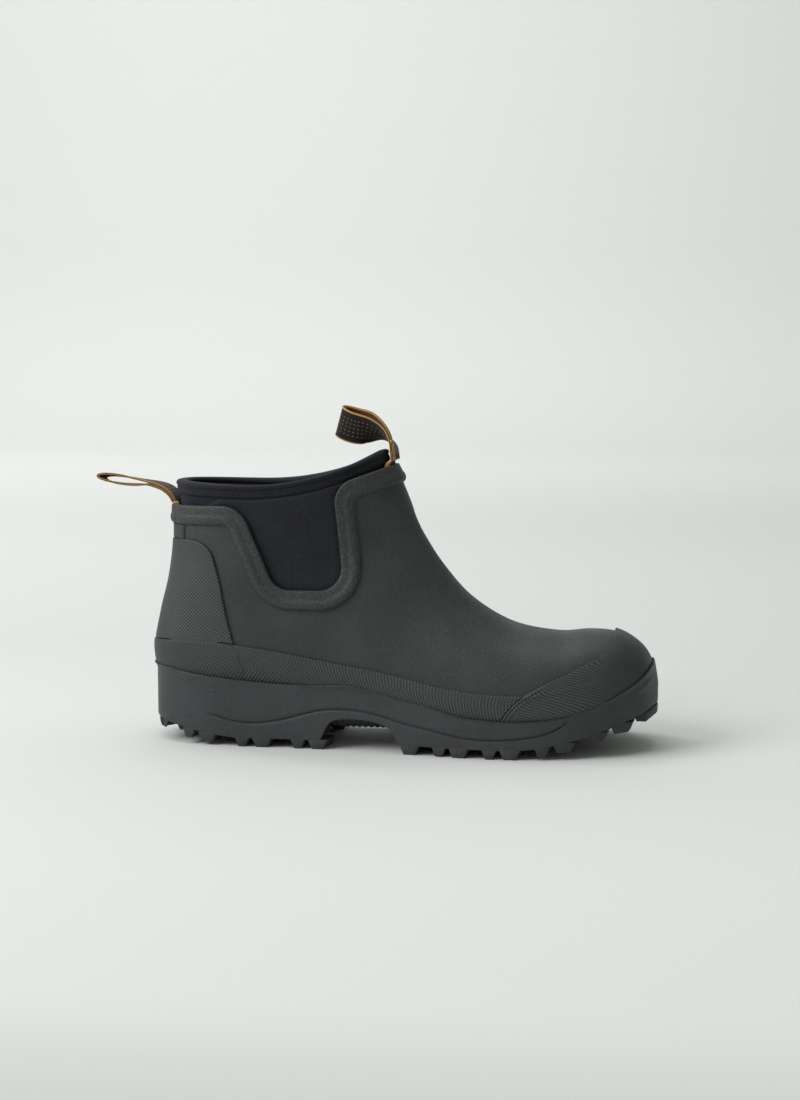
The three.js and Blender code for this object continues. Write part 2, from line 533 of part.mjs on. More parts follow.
const PIECES = {
  outsole: [outsole, soleRubber],
  heel_wedge: [heelWedge, sponge],
  forefoot_filler: [forefootFiller, sponge],
  shank: [shank, steel],
  insole_board: [insoleBoard, board],
  upper_shell: [upperShell, rubber],
  foxing_strip: [foxingStrip, rubber],
  toe_cap: [toeCap, rubber],
  heel_counter: [heelCounter, rubber],
  back_stay: [backStay, rubber],
  topline_band: [toplineBand, rubber],
  toe_puff: [toePuff, fabric],
  heel_stiffener: [heelStiffener, fabric],
  liner: [liner, neoprene],
  liner_seam_tape: [linerSeamTape, fabric],
  gusset_lateral: [() => gusset(-1), neoprene],
  gusset_medial: [() => gusset(1), neoprene],
  collar_binding: [collarBinding, fabric],
  footbed_foam: [() => footbedLayer(9.2, 13.4), foam],
  footbed_cover: [() => footbedLayer(13.4 + GAP, 14.8), fabric],
  front_pull_loop: [() => pullLoop(FRONT_LOOP, FRONT_TWIST, 3.6), webbing],
  rear_pull_loop: [() => pullLoop(REAR_LOOP, REAR_TWIST, 2.4), webbing],
  front_loop_bartack: [() => bartack(FRONT_LOOP, -1), thread],
  rear_loop_bartack: [() => bartack(REAR_LOOP, 1), thread],
};

const boot = new THREE.Group();
for (const [name, [make, material]] of Object.entries(PIECES)) {
  const mesh = new THREE.Mesh(geometryOf(make()), material);
  mesh.name = name;
  boot.add(mesh);
}

export default boot;
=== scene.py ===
"""Rubber rain boot, right foot: every visible piece in detail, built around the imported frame.

Sizes are in millimetres up to the moment a mesh is laid down, where MM turns them into metres.
The frame has +X towards the toe, +Y towards the inner side of the foot and +Z up.
"""

import logging
import math
from collections.abc import Callable, Sequence
from dataclasses import dataclass, field
from enum import Enum

import bpy
import numpy as np
from mathutils import Matrix, Vector

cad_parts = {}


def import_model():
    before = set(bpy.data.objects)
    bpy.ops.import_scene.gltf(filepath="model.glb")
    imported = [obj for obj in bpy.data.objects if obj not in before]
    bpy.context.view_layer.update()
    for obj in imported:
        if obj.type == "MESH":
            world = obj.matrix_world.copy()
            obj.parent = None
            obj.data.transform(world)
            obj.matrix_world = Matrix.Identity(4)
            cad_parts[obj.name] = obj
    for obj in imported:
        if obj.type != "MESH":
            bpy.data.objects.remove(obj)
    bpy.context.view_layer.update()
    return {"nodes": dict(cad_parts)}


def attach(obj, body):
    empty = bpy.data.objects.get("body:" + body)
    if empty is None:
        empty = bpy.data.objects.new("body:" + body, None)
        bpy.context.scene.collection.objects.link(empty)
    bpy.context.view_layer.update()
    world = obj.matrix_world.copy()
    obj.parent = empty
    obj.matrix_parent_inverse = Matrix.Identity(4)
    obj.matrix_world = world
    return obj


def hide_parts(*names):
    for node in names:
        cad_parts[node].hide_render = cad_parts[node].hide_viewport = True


LOG = logging.getLogger("rain_boot")
MM = 0.001
UV_MM = 100.0  # millimetres to one unit of a piece's UV map

Points = np.ndarray
Node = bpy.types.ShaderNode
Mesh = bpy.types.Object


class Side(Enum):
    """The two sides of the boot, as the sign of Y."""

    LATERAL = -1
    MEDIAL = 1


class Body(Enum):
    """The frame's bodies that pieces ride on."""

    BOOT = "boot"
    FOOTBED = "footbed"
    FRONT_LOOP = "front_loop"
    REAR_LOOP = "rear_loop"


# ---------------------------------------------------------------- the last and lines drawn on it
@dataclass(frozen=True)
class Layers:
    """Heights and thicknesses of the layers, and half the width of the topline band."""

    gap: float = 0.3
    upper: float = 2.0
    liner_out: float = 4.0
    neoprene: float = 3.0
    counter: float = 1.5
    foxing: float = 1.8
    stay: float = 1.1
    band_half: float = 5.9


LAYERS = Layers()


@dataclass
class Last:
    """The shoe last that every layer of the boot is offset from.

    Each station is one cross-section: its point on the instep line, its point on the sole and heel
    line, half-width, middle in Y, share of the height at which it is widest, and the squareness of
    its upper and lower halves.
    """

    stations: tuple[tuple[float, ...], ...] = (
        (240.0, 42.0, 240.0, 42.0, 0.0, 4.0, 0.40, 2.2, 2.4),
        (238.6, 49.8, 238.8, 34.5, 13.0, 4.0, 0.38, 2.2, 2.6),
        (232.0, 59.6, 234.0, 28.0, 24.5, 3.7, 0.33, 2.3, 2.9),
        (219.0, 67.2, 219.0, 21.8, 35.2, 3.1, 0.29, 2.4, 3.1),
        (203.0, 68.7, 203.0, 17.6, 42.0, 2.2, 0.27, 2.4, 3.2),
        (184.0, 67.4, 182.0, 14.8, 46.2, 1.2, 0.26, 2.35, 3.2),
        (157.0, 73.0, 150.0, 13.3, 46.4, -0.9, 0.25, 2.2, 3.2),
        (133.0, 88.0, 112.0, 15.0, 41.3, -2.5, 0.24, 2.05, 3.2),
        (116.0, 107.0, 70.0, 20.0, 35.6, -2.6, 0.28, 2.0, 3.3),
        (104.6, 124.0, 20.0, 25.5, 34.0, -1.5, 0.36, 2.05, 3.4),
        (99.2, 134.4, -32.0, 27.0, 33.6, -0.6, 0.42, 2.1, 3.2),
        (96.6, 141.8, -53.0, 34.5, 33.4, 0.0, 0.44, 2.15, 2.8),
        (94.2, 148.0, -59.9, 53.0, 33.4, 0.0, 0.45, 2.2, 2.5),
        (91.6, 154.2, -56.8, 75.0, 33.6, 0.0, 0.46, 2.2, 2.35),
        (89.0, 160.6, -51.2, 98.0, 34.2, 0.0, 0.47, 2.2, 2.3),
        (86.3, 167.2, -48.3, 119.0, 34.8, 0.0, 0.48, 2.2, 2.3),
        (84.4, 173.6, -48.2, 139.0, 36.0, 0.0, 0.48, 2.2, 2.3),
        (83.0, 180.0, -49.3, 157.0, 37.4, 0.0, 0.48, 2.2, 2.3),
        (81.5, 187.0, -49.8, 175.0, 38.0, 0.0, 0.48, 2.2, 2.3),
    )
    scan_steps: int = 240

    def __post_init__(self) -> None:
        """Pads the station table so that a spline runs through its first and last rows."""
        table = np.array(self.stations)
        self.end = len(table) - 1
        self.knots = np.vstack([2 * table[0] - table[1], table, 2 * table[-1] - table[-2]])

    def rows(self, t: Points) -> tuple[Points, Points]:
        """Station values at station numbers t.

        Args:
            t: Station numbers, whole or in between.

        Returns:
            The values and their rate of change with t.
        """
        t = np.clip(np.asarray(t, float), 0, self.end)
        k = np.minimum(t.astype(int), self.end - 1)
        w = (t - k)[..., None]
        p0, p1, p2, p3 = (self.knots[k + n] for n in range(4))
        m0, m1 = (p2 - p0) / 2, (p3 - p1) / 2
        quad, cube = -3 * p1 + 3 * p2 - 2 * m0 - m1, 2 * p1 - 2 * p2 + m0 + m1
        return p1 + m0 * w + quad * w**2 + cube * w**3, m0 + 2 * quad * w + 3 * cube * w**2

    def section(self, t: Points, grow: float | Points) -> tuple[Points, Points, Points]:
        """One cross-section of the last, its faces moved outwards.

        Args:
            t: Station numbers.
            grow: How far the faces are moved outwards.

        Returns:
            Points on the instep line, points on the sole line, and the width values
            (half-width, middle, widest share, two powers).
        """
        value, rate = self.rows(t)
        grow = np.broadcast_to(np.asarray(grow, float), value.shape[:-1])
        top_run = rate[..., 0:2] / np.linalg.norm(rate[..., 0:2], axis=-1, keepdims=True)
        low_run = rate[..., 2:4] / np.linalg.norm(rate[..., 2:4], axis=-1, keepdims=True)
        out = grow[..., None]
        top = value[..., 0:2] + out * np.stack([top_run[..., 1], -top_run[..., 0]], -1)
        low = value[..., 2:4] + out * np.stack([-low_run[..., 1], low_run[..., 0]], -1)
        width = value[..., 4:9].copy()
        half = np.maximum(width[..., 0], 0)
        width[..., 0] = half + grow * np.minimum(1, half / 10)
        return top, low, width

    def point(self, t: Points, turn: Points, grow: float | Points = 0.0) -> Points:
        """Points on the last.

        Args:
            t: Station numbers.
            turn: 0 at the sole line, 0.5 at the instep line by the outer side, 1 back again.
            grow: Height above the last.

        Returns:
            Points, with x, y and z in the last axis.
        """
        t, turn, grow = np.broadcast_arrays(
            np.asarray(t, float), np.mod(turn, 1.0), np.asarray(grow, float))
        top, low, width = self.section(t, grow)
        side = np.where(turn <= 0.5, -1.0, 1.0)
        angle = 2 * math.pi * np.where(turn <= 0.5, turn, 1 - turn)
        across, height = np.cos(angle), np.maximum(np.sin(angle), 0)
        power = 2 / np.where(across > 0, width[..., 4], width[..., 3])
        reach = np.abs(across) ** power
        wide = width[..., 2]
        along = np.where(across > 0, wide * (1 - reach), wide + (1 - wide) * reach)
        middle = low + (top - low) * along[..., None]
        y = width[..., 1] + side * width[..., 0] * height**power
        return np.stack([middle[..., 0], y, middle[..., 1]], -1)

    def find(self, xz: Points, grow: float) -> tuple[Points, Points, Points]:
        """Stations of points that are given in the side view.

        Args:
            xz: Points as rows of x and z.
            grow: Height above the last of the surface they lie on.

        Returns:
            Station numbers, shares of the way from sole line to instep line, and whether each
            point is within the outline.
        """
        scan = np.linspace(0.03, self.end, self.scan_steps)
        tops, lows, _ = self.section(scan, grow)
        run = tops - lows

        def off(x: Points, z: Points, low: Points, way: Points) -> tuple[Points, Points]:
            """Distance off each section line, and share along it."""
            wx, wz = x - low[..., 0], z - low[..., 1]
            size = (way**2).sum(-1)
            return way[..., 0] * wz - way[..., 1] * wx, (wx * way[..., 0] + wz * way[..., 1]) / size

        x, z = xz[:, 0], xz[:, 1]
        cross, along = off(x[:, None], z[:, None], lows, run)
        near = (along > -0.05) & (along < 1.05)
        hit = (cross[:, :-1] * cross[:, 1:] <= 0) & near[:, :-1] & near[:, 1:]
        k = hit.argmax(1)
        start, stop = scan[k], scan[k + 1]
        sign = cross[np.arange(len(x)), k]
        for _ in range(26):
            t = (start + stop) / 2
            top, low, _ = self.section(t, grow)
            here, _ = off(x, z, low, top - low)
            same = here * sign > 0
            start, stop = np.where(same, t, start), np.where(same, stop, t)
        t = (start + stop) / 2
        top, low, _ = self.section(t, grow)
        _, share = off(x, z, low, top - low)
        return t, np.clip(share, 0, 1), hit.any(1) & (share >= 0) & (share <= 1)

    def turn_at(self, t: Points, along: Points, side: Side) -> Points:
        """Turn value of points at shares along their sections, on one side."""
        _, _, width = self.section(t, 0.0)
        wide = width[..., 2]
        low_reach = np.clip(1 - along / wide, 0, 1) ** (width[..., 4] / 2)
        top_reach = np.clip((along - wide) / (1 - wide), 0, 1) ** (width[..., 3] / 2)
        across = np.where(along < wide, low_reach, -top_reach)
        turn = np.arccos(np.clip(across, -1, 1)) / (2 * math.pi)
        return turn if side is Side.LATERAL else 1 - turn

    def lift(self, xz: Points, side: Side, grow: float) -> Points:
        """Points of the side view laid on the last's surface at height grow, on one side."""
        t, along, _ = self.find(xz, grow)
        return self.point(t, self.turn_at(t, along, side), grow)


LAST = Last()


def walk(points: Points) -> Points:
    """Length walked along a run of points."""
    return np.concatenate([[0], np.cumsum(np.linalg.norm(np.diff(points, axis=0), axis=1))])


def centripetal(p: Sequence[Points], steps: int, endpoint: bool = False) -> Points:
    """Centripetal spline from the second to the third of four points.

    Args:
        p: The four points.
        steps: Number of points on the spline.
        endpoint: True to include the third point.

    Returns:
        The points.
    """
    gaps = [math.sqrt(float(np.linalg.norm(b - a))) for a, b in zip(p, p[1:])]
    knots = np.concatenate([[0], np.cumsum(gaps)])
    u = np.linspace(knots[1], knots[2], steps, endpoint=endpoint)[:, None]
    level = list(p)
    for reach in (1, 2):
        level = [(level[n] * (knots[n + reach] - u) + level[n + 1] * (u - knots[n]))
                 / (knots[n + reach] - knots[n]) for n in range(4 - reach)]
    return (level[0] * (knots[2] - u) + level[1] * (u - knots[1])) / (knots[2] - knots[1])


class SideLine:
    """A line on the boot as drawn from the side, walked by its length."""

    def __init__(self, points: Sequence[Sequence[float]]) -> None:
        """Takes closely spaced x, z points."""
        self.points = np.asarray(points, float)
        run = np.gradient(self.points, axis=0)
        run /= np.linalg.norm(run, axis=1, keepdims=True)
        self.left = np.stack([-run[:, 1], run[:, 0]], 1)
        self.walked = walk(self.points)
        self.length = float(self.walked[-1])

    @classmethod
    def through(cls, points: Sequence[Sequence[float]], count: int = 240) -> "SideLine":
        """Smooth line through x, z points.

        Args:
            points: The points, in order.
            count: Number of steps it is sampled into.

        Returns:
            The line.
        """
        table = np.asarray(points, float)
        padded = np.vstack([table[0], table, table[-1]])
        u = np.linspace(0, len(table) - 1, count + 1)
        k = np.minimum(u.astype(int), len(table) - 2)
        w = (u - k)[:, None]
        p0, p1, p2, p3 = (padded[k + n] for n in range(4))
        m0, m1 = (p2 - p0) / 2, (p3 - p1) / 2
        curve = p1 + m0 * w + (-3 * p1 + 3 * p2 - 2 * m0 - m1) * w**2
        return cls(curve + (2 * p1 - 2 * p2 + m0 + m1) * w**3)

    @classmethod
    def rounded(cls, corners: Sequence[Sequence[float]], step: float = 0.8) -> "SideLine":
        """Straight legs with an arc at each inner corner.

        Args:
            corners: x, z and radius of each corner; the two ends have no radius.
            step: Spacing of the points.

        Returns:
            The line.
        """
        out = [np.array(corners[0][:2], float)]
        for before, here, after in zip(corners, corners[1:], corners[2:]):
            p = np.array(here[:2], float)
            a, b = np.array(before[:2]) - p, np.array(after[:2]) - p
            a, b = a / np.linalg.norm(a), b / np.linalg.norm(b)
            half = math.acos(float(a @ b)) / 2
            centre = p + (a + b) / np.linalg.norm(a + b) * here[2] / math.sin(half)
            spoke = p + a * here[2] / math.tan(half) - centre
            other = p + b * here[2] / math.tan(half) - centre
            sweep = math.copysign(math.pi - 2 * half, spoke[0] * other[1] - spoke[1] * other[0])
            for share in np.linspace(0, 1, 24):
                c, s = math.cos(sweep * share), math.sin(sweep * share)
                turned = np.array([spoke[0] * c - spoke[1] * s, spoke[0] * s + spoke[1] * c])
                out.append(centre + turned)
        out.append(np.array(corners[-1][:2], float))
        table = np.array(out)
        walked = walk(table)
        keep = np.concatenate([[True], np.diff(walked) > 1e-6])
        table, walked = table[keep], walked[keep]
        even = np.linspace(0, walked[-1], int(walked[-1] / step) + 1)
        return cls(np.stack([np.interp(even, walked, table[:, n]) for n in (0, 1)], 1))

    def place(self, s: Points, shift: float | Points = 0.0) -> Points:
        """Points at lengths s, moved to the line's left by shift."""
        xz = np.stack([np.interp(s, self.walked, self.points[:, n]) for n in (0, 1)], -1)
        left = np.stack([np.interp(s, self.walked, self.left[:, n]) for n in (0, 1)], -1)
        left /= np.linalg.norm(left, axis=-1, keepdims=True)
        return xz + left * np.asarray(shift)[..., None]

    def distance(self, xz: Points) -> Points:
        """Distance of points from the line, positive to its left."""
        flat = xz.reshape(-1, 2)
        a, b = self.points[:-1], self.points[1:]
        run = b - a
        best = np.full(len(flat), np.inf)
        signed = np.zeros(len(flat))
        for start, way in zip(a, run):
            rel = flat - start
            share = np.clip(rel @ way / (way @ way), 0, 1)
            gap = rel - share[:, None] * way
            size = np.hypot(gap[:, 0], gap[:, 1])
            closer = size < best
            best = np.where(closer, size, best)
            sign = np.where(way[0] * rel[:, 1] - way[1] * rel[:, 0] >= 0, 1.0, -1.0)
            signed = np.where(closer, sign * size, signed)
        return signed.reshape(xz.shape[:-1])

    def height(self, x: Points) -> Points:
        """Height of a line that runs from heel to toe, at each x."""
        return np.interp(x, self.points[:, 0], self.points[:, 1])


SOLE_RIM = SideLine.through([
    (-70, 46.5), (-50, 45), (-26, 41.9), (10, 38.7), (40, 38), (64, 38.7), (86, 34), (112, 28.8),
    (130, 23.9), (150, 22.2), (166, 22), (181, 23.3), (197, 26.6), (211, 31.3), (223, 37.4),
    (233, 43.6), (240, 50.2), (250, 62)])
FOXING_TOP = SideLine.through([
    (-70, 59), (-50, 61.5), (-26, 62.6), (-7, 61), (19, 57.8), (43, 53.8), (68, 49.8), (92, 45.6),
    (114, 41), (137, 37.8), (160, 36.8), (200, 37)])
CAP_EDGE = SideLine.through([
    (214, 84), (217.6, 68), (211, 59), (203, 54.6), (191, 48.8), (180, 43.8), (169.5, 38),
    (163.5, 34), (158, 28.5), (150, 16)])
COUNTER_EDGE = SideLine.through([
    (-70, 121.6), (-50, 121.7), (-36, 122.2), (-26.5, 120.8), (-19.6, 115.4), (-16.6, 107),
    (-14, 97), (-10.6, 80), (-6, 62), (-1, 50), (3, 38)])
BAND_LINE = SideLine.rounded([
    (-70, 135.8), (-5, 137.4, 11), (15.6, 88, 19), (66.5, 88, 19), (59.8, 151.5, 9), (110, 168.8)])


def smoothstep(value: Points | float, low: float, high: float) -> Points:
    """0 below low, 1 above high and smooth in between."""
    share = np.clip((np.asarray(value, float) - low) / (high - low), 0, 1)
    return share * share * (3 - 2 * share)


def ground_height(x: Points) -> Points:
    """Height of the tread's feet: flat under heel and ball, rising at both ends."""
    heel = 8.5 * (np.maximum(-6 - x, 0) / 53) ** 1.3
    toe = 21.5 * (np.maximum(x - 160, 0) / 83) ** 1.6
    return heel + toe


def rim_height(x: Points) -> Points:
    """Height of the collar's edge."""
    front = 155.6 + 22 * (np.maximum(x + 5, 0) / 91) ** 2.15
    return np.where(x > -5, front, 155.6 + ((-5 - x) / 42) ** 2)


# ---------------------------------------------------------------- rows of points on the last
def eased(share: Points, first: bool, last: bool) -> Points:
    """Shares of a row, drawn closer together at an end that crosses the boot's outline."""
    if first and last:
        return (1 - np.cos(math.pi * share)) / 2
    if first:
        return 1 - np.cos(math.pi / 2 * share)
    if last:
        return np.sin(math.pi / 2 * share)
    return share


@dataclass
class Row:
    """A line of the side view, shifted and laid on one height of the last.

    line: the line; shift: distance to its left; grow: height above the last; bounds: lengths
    between which it is kept, where the outline doesn't cut it first; relief: extra height as a
    function of side-view points.
    """

    line: SideLine
    shift: float
    grow: float
    bounds: tuple[float, float] | None = None
    relief: Callable[[Points], Points] | None = None

    def __post_init__(self) -> None:
        """Finds where the row crosses the outline of the last."""
        low, high = self.bounds or (0.0, self.line.length)
        s = np.linspace(low, high, 500)
        inside = LAST.find(self.line.place(s, self.shift), self.grow)[2]
        found = np.flatnonzero(inside)
        self.crosses = (bool(found[0] > 0), bool(found[-1] < len(s) - 1))
        self.first = self._edge(s[found[0]], s[max(found[0] - 1, 0)])
        self.last = self._edge(s[found[-1]], s[min(found[-1] + 1, len(s) - 1)])

    def _edge(self, inner: float, outer: float) -> float:
        """Length at which the row leaves the outline, between a length inside and one outside."""
        for _ in range(22):
            middle = (inner + outer) / 2
            spot = self.line.place(np.array([middle]), self.shift)
            if LAST.find(spot, self.grow)[2][0]:
                inner = middle
            else:
                outer = middle
        return inner

    def chart(self, shares: Points, side: Side) -> tuple[Points, Points, Points]:
        """Places of the row on one side at shares of its length.

        Args:
            shares: Shares from 0 to 1.
            side: Which side of the boot.

        Returns:
            Station numbers, turn values, and the points in the side view.
        """
        s = self.first + (self.last - self.first) * eased(shares, *self.crosses)
        xz = self.line.place(s, self.shift)
        t, along, _ = LAST.find(xz, self.grow)
        turn = LAST.turn_at(t, along, side)
        for crossed, end in zip(self.crosses, (0, -1)):
            if crossed:
                turn[end] = round(float(np.mod(turn[end], 1.0)) * 2) / 2
        return t, turn, xz

    def lay(self, shares: Points, side: Side) -> Points:
        """Points of the row on one side of the boot at shares of its length."""
        t, turn, xz = self.chart(shares, side)
        extra = self.relief(xz) if self.relief else 0.0
        return LAST.point(t, turn, self.grow + extra)

    def even(self, count: int) -> Points:
        """Shares at which count points are evenly spaced along the lateral side."""
        dense = np.linspace(0, 1, 600)
        walked = walk(self.lay(dense, Side.LATERAL))
        return np.interp(np.linspace(0, walked[-1], count), walked, dense)


def round_the_boot(row: Row, shares: Points, closed: bool) -> Points:
    """A row on both sides of the boot as one run of points.

    Args:
        row: The row.
        shares: Shares of the row's length, from 0 to 1.
        closed: True for a row that crosses the outline at both ends and closes on itself.

    Returns:
        Points from the lateral side's last share, through its first, to the medial side's last.
    """
    near = row.lay(shares, Side.LATERAL)[::-1]
    far = row.lay(shares, Side.MEDIAL)
    return np.concatenate([near, far[1:-1] if closed else far[1:]])


# ---------------------------------------------------------------- meshes
def clear_selection() -> None:
    """Deselects everything, so that an operator acts only on the piece in hand."""
    if bpy.context.object and bpy.context.object.mode != "OBJECT":
        bpy.ops.object.mode_set(mode="OBJECT")
    bpy.ops.object.select_all(action="DESELECT")


def take(piece: Mesh) -> Mesh:
    """Makes a piece the only selected and the active one, and returns it."""
    clear_selection()
    piece.select_set(True)
    bpy.context.view_layer.objects.active = piece
    return piece


def coordinates(piece: Mesh) -> Points:
    """Vertex positions of a piece in millimetres."""
    table = np.zeros(len(piece.data.vertices) * 3)
    piece.data.vertices.foreach_get("co", table)
    return table.reshape(-1, 3) / MM


def lay_map(piece: Mesh, uv: Points) -> None:
    """Writes a piece's UV map from one U and V in millimetres for each vertex."""
    corner = np.zeros(len(piece.data.loops), np.int32)
    piece.data.loops.foreach_get("vertex_index", corner)
    piece.data.uv_layers[0].data.foreach_set("uv", (uv.reshape(-1, 2)[corner] / UV_MM).ravel())


def grid(name: str, points: Points, uv: Points | None = None) -> Mesh:
    """A grid primitive with its vertices laid on given points.

    Args:
        name: Name of the piece.
        points: Millimetre points as rows, columns, xyz.
        uv: UV of each point in millimetres, or None to keep the primitive's own.

    Returns:
        The piece.
    """
    rows, columns = points.shape[:2]
    clear_selection()
    bpy.ops.mesh.primitive_grid_add(x_subdivisions=columns - 1, y_subdivisions=rows - 1, size=1)
    piece = bpy.context.object
    piece.name = piece.data.name = name
    piece.data.vertices.foreach_set("co", (points.reshape(-1, 3) * MM).ravel())
    if uv is not None:
        lay_map(piece, uv)
    piece.data.update()
    return piece


def edit(piece: Mesh, *steps: Callable[[], object]) -> Mesh:
    """Runs mesh operators on all of a piece in edit mode."""
    take(piece)
    bpy.ops.object.mode_set(mode="EDIT")
    bpy.ops.mesh.select_mode(type="VERT")
    bpy.ops.mesh.select_all(action="SELECT")
    for step in steps:
        step()
    bpy.ops.object.mode_set(mode="OBJECT")
    return piece


def weld(piece: Mesh, reach: float = 0.004) -> Mesh:
    """Joins vertices that lie on each other and turns every face outwards."""
    return edit(
        piece,
        lambda: bpy.ops.mesh.remove_doubles(threshold=reach * MM),
        lambda: bpy.ops.mesh.normals_make_consistent(inside=False))


def close_ends(piece: Mesh) -> Mesh:
    """Fills the open ends of a swept piece."""
    return edit(
        piece,
        lambda: bpy.ops.mesh.select_all(action="DESELECT"),
        lambda: bpy.ops.mesh.select_non_manifold(extend=False),
        lambda: bpy.ops.mesh.fill_holes(sides=0),
        lambda: bpy.ops.mesh.select_all(action="SELECT"),
        lambda: bpy.ops.mesh.normals_make_consistent(inside=False))


def modify(piece: Mesh, kind: str, **settings: object) -> Mesh:
    """Adds a modifier with the given settings and applies it."""
    take(piece)
    modifier = piece.modifiers.new(kind.title(), kind)
    for key, value in settings.items():
        setattr(modifier, key, value)
    bpy.ops.object.modifier_apply(modifier=modifier.name)
    return piece


def smooth(piece: Mesh, degrees: float = 40.0) -> Mesh:
    """Shades a piece smooth, with edges sharper than the angle kept."""
    take(piece)
    bpy.ops.object.shade_smooth_by_angle(angle=math.radians(degrees))
    return piece


def joined(name: str, pieces: Sequence[Mesh]) -> Mesh:
    """Joins pieces into one under a name."""
    clear_selection()
    for piece in pieces:
        piece.select_set(True)
    bpy.context.view_layer.objects.active = pieces[0]
    if len(pieces) > 1:
        bpy.ops.object.join()
    pieces[0].name = pieces[0].data.name = name
    return pieces[0]


def sweep(name: str, sections: Points, closed: bool, uv_across: Points | None = None) -> Mesh:
    """A closed section carried along a path.

    Args:
        name: Name of the piece.
        sections: Points as section points, places along the path, xyz; each section is a loop.
        closed: True where the path closes on itself; otherwise its ends are filled.
        uv_across: V value in millimetres of each section point, or None for the length walked.

    Returns:
        The welded piece.
    """
    loop = np.concatenate([sections, sections[:1]])
    if closed:
        loop = np.concatenate([loop, loop[:, :1]], axis=1)
    middle = loop[len(loop) // 4]
    u = np.broadcast_to(walk(middle)[None, :], loop.shape[:2])
    if uv_across is None:
        across = walk(loop[:, loop.shape[1] // 3])
    else:
        across = np.concatenate([uv_across, uv_across[:1]])
    v = np.broadcast_to(across[:, None], loop.shape[:2])
    piece = weld(grid(name, loop, np.stack([u, v], -1)))
    return piece if closed else close_ends(piece)


def ride(piece: Mesh, body: Body, slot: str, *nodes: str) -> Mesh:
    """Puts a finished piece on a body.

    Args:
        piece: The piece.
        body: The body it moves with.
        slot: Not used.
        nodes: Frame nodes that it stands for.

    Returns:
        The piece.
    """
    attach(piece, body.value)
    if nodes:
        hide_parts(*nodes)
    LOG.info("%s: %d faces on %s", piece.name, len(piece.data.polygons), body.value)
    return piece


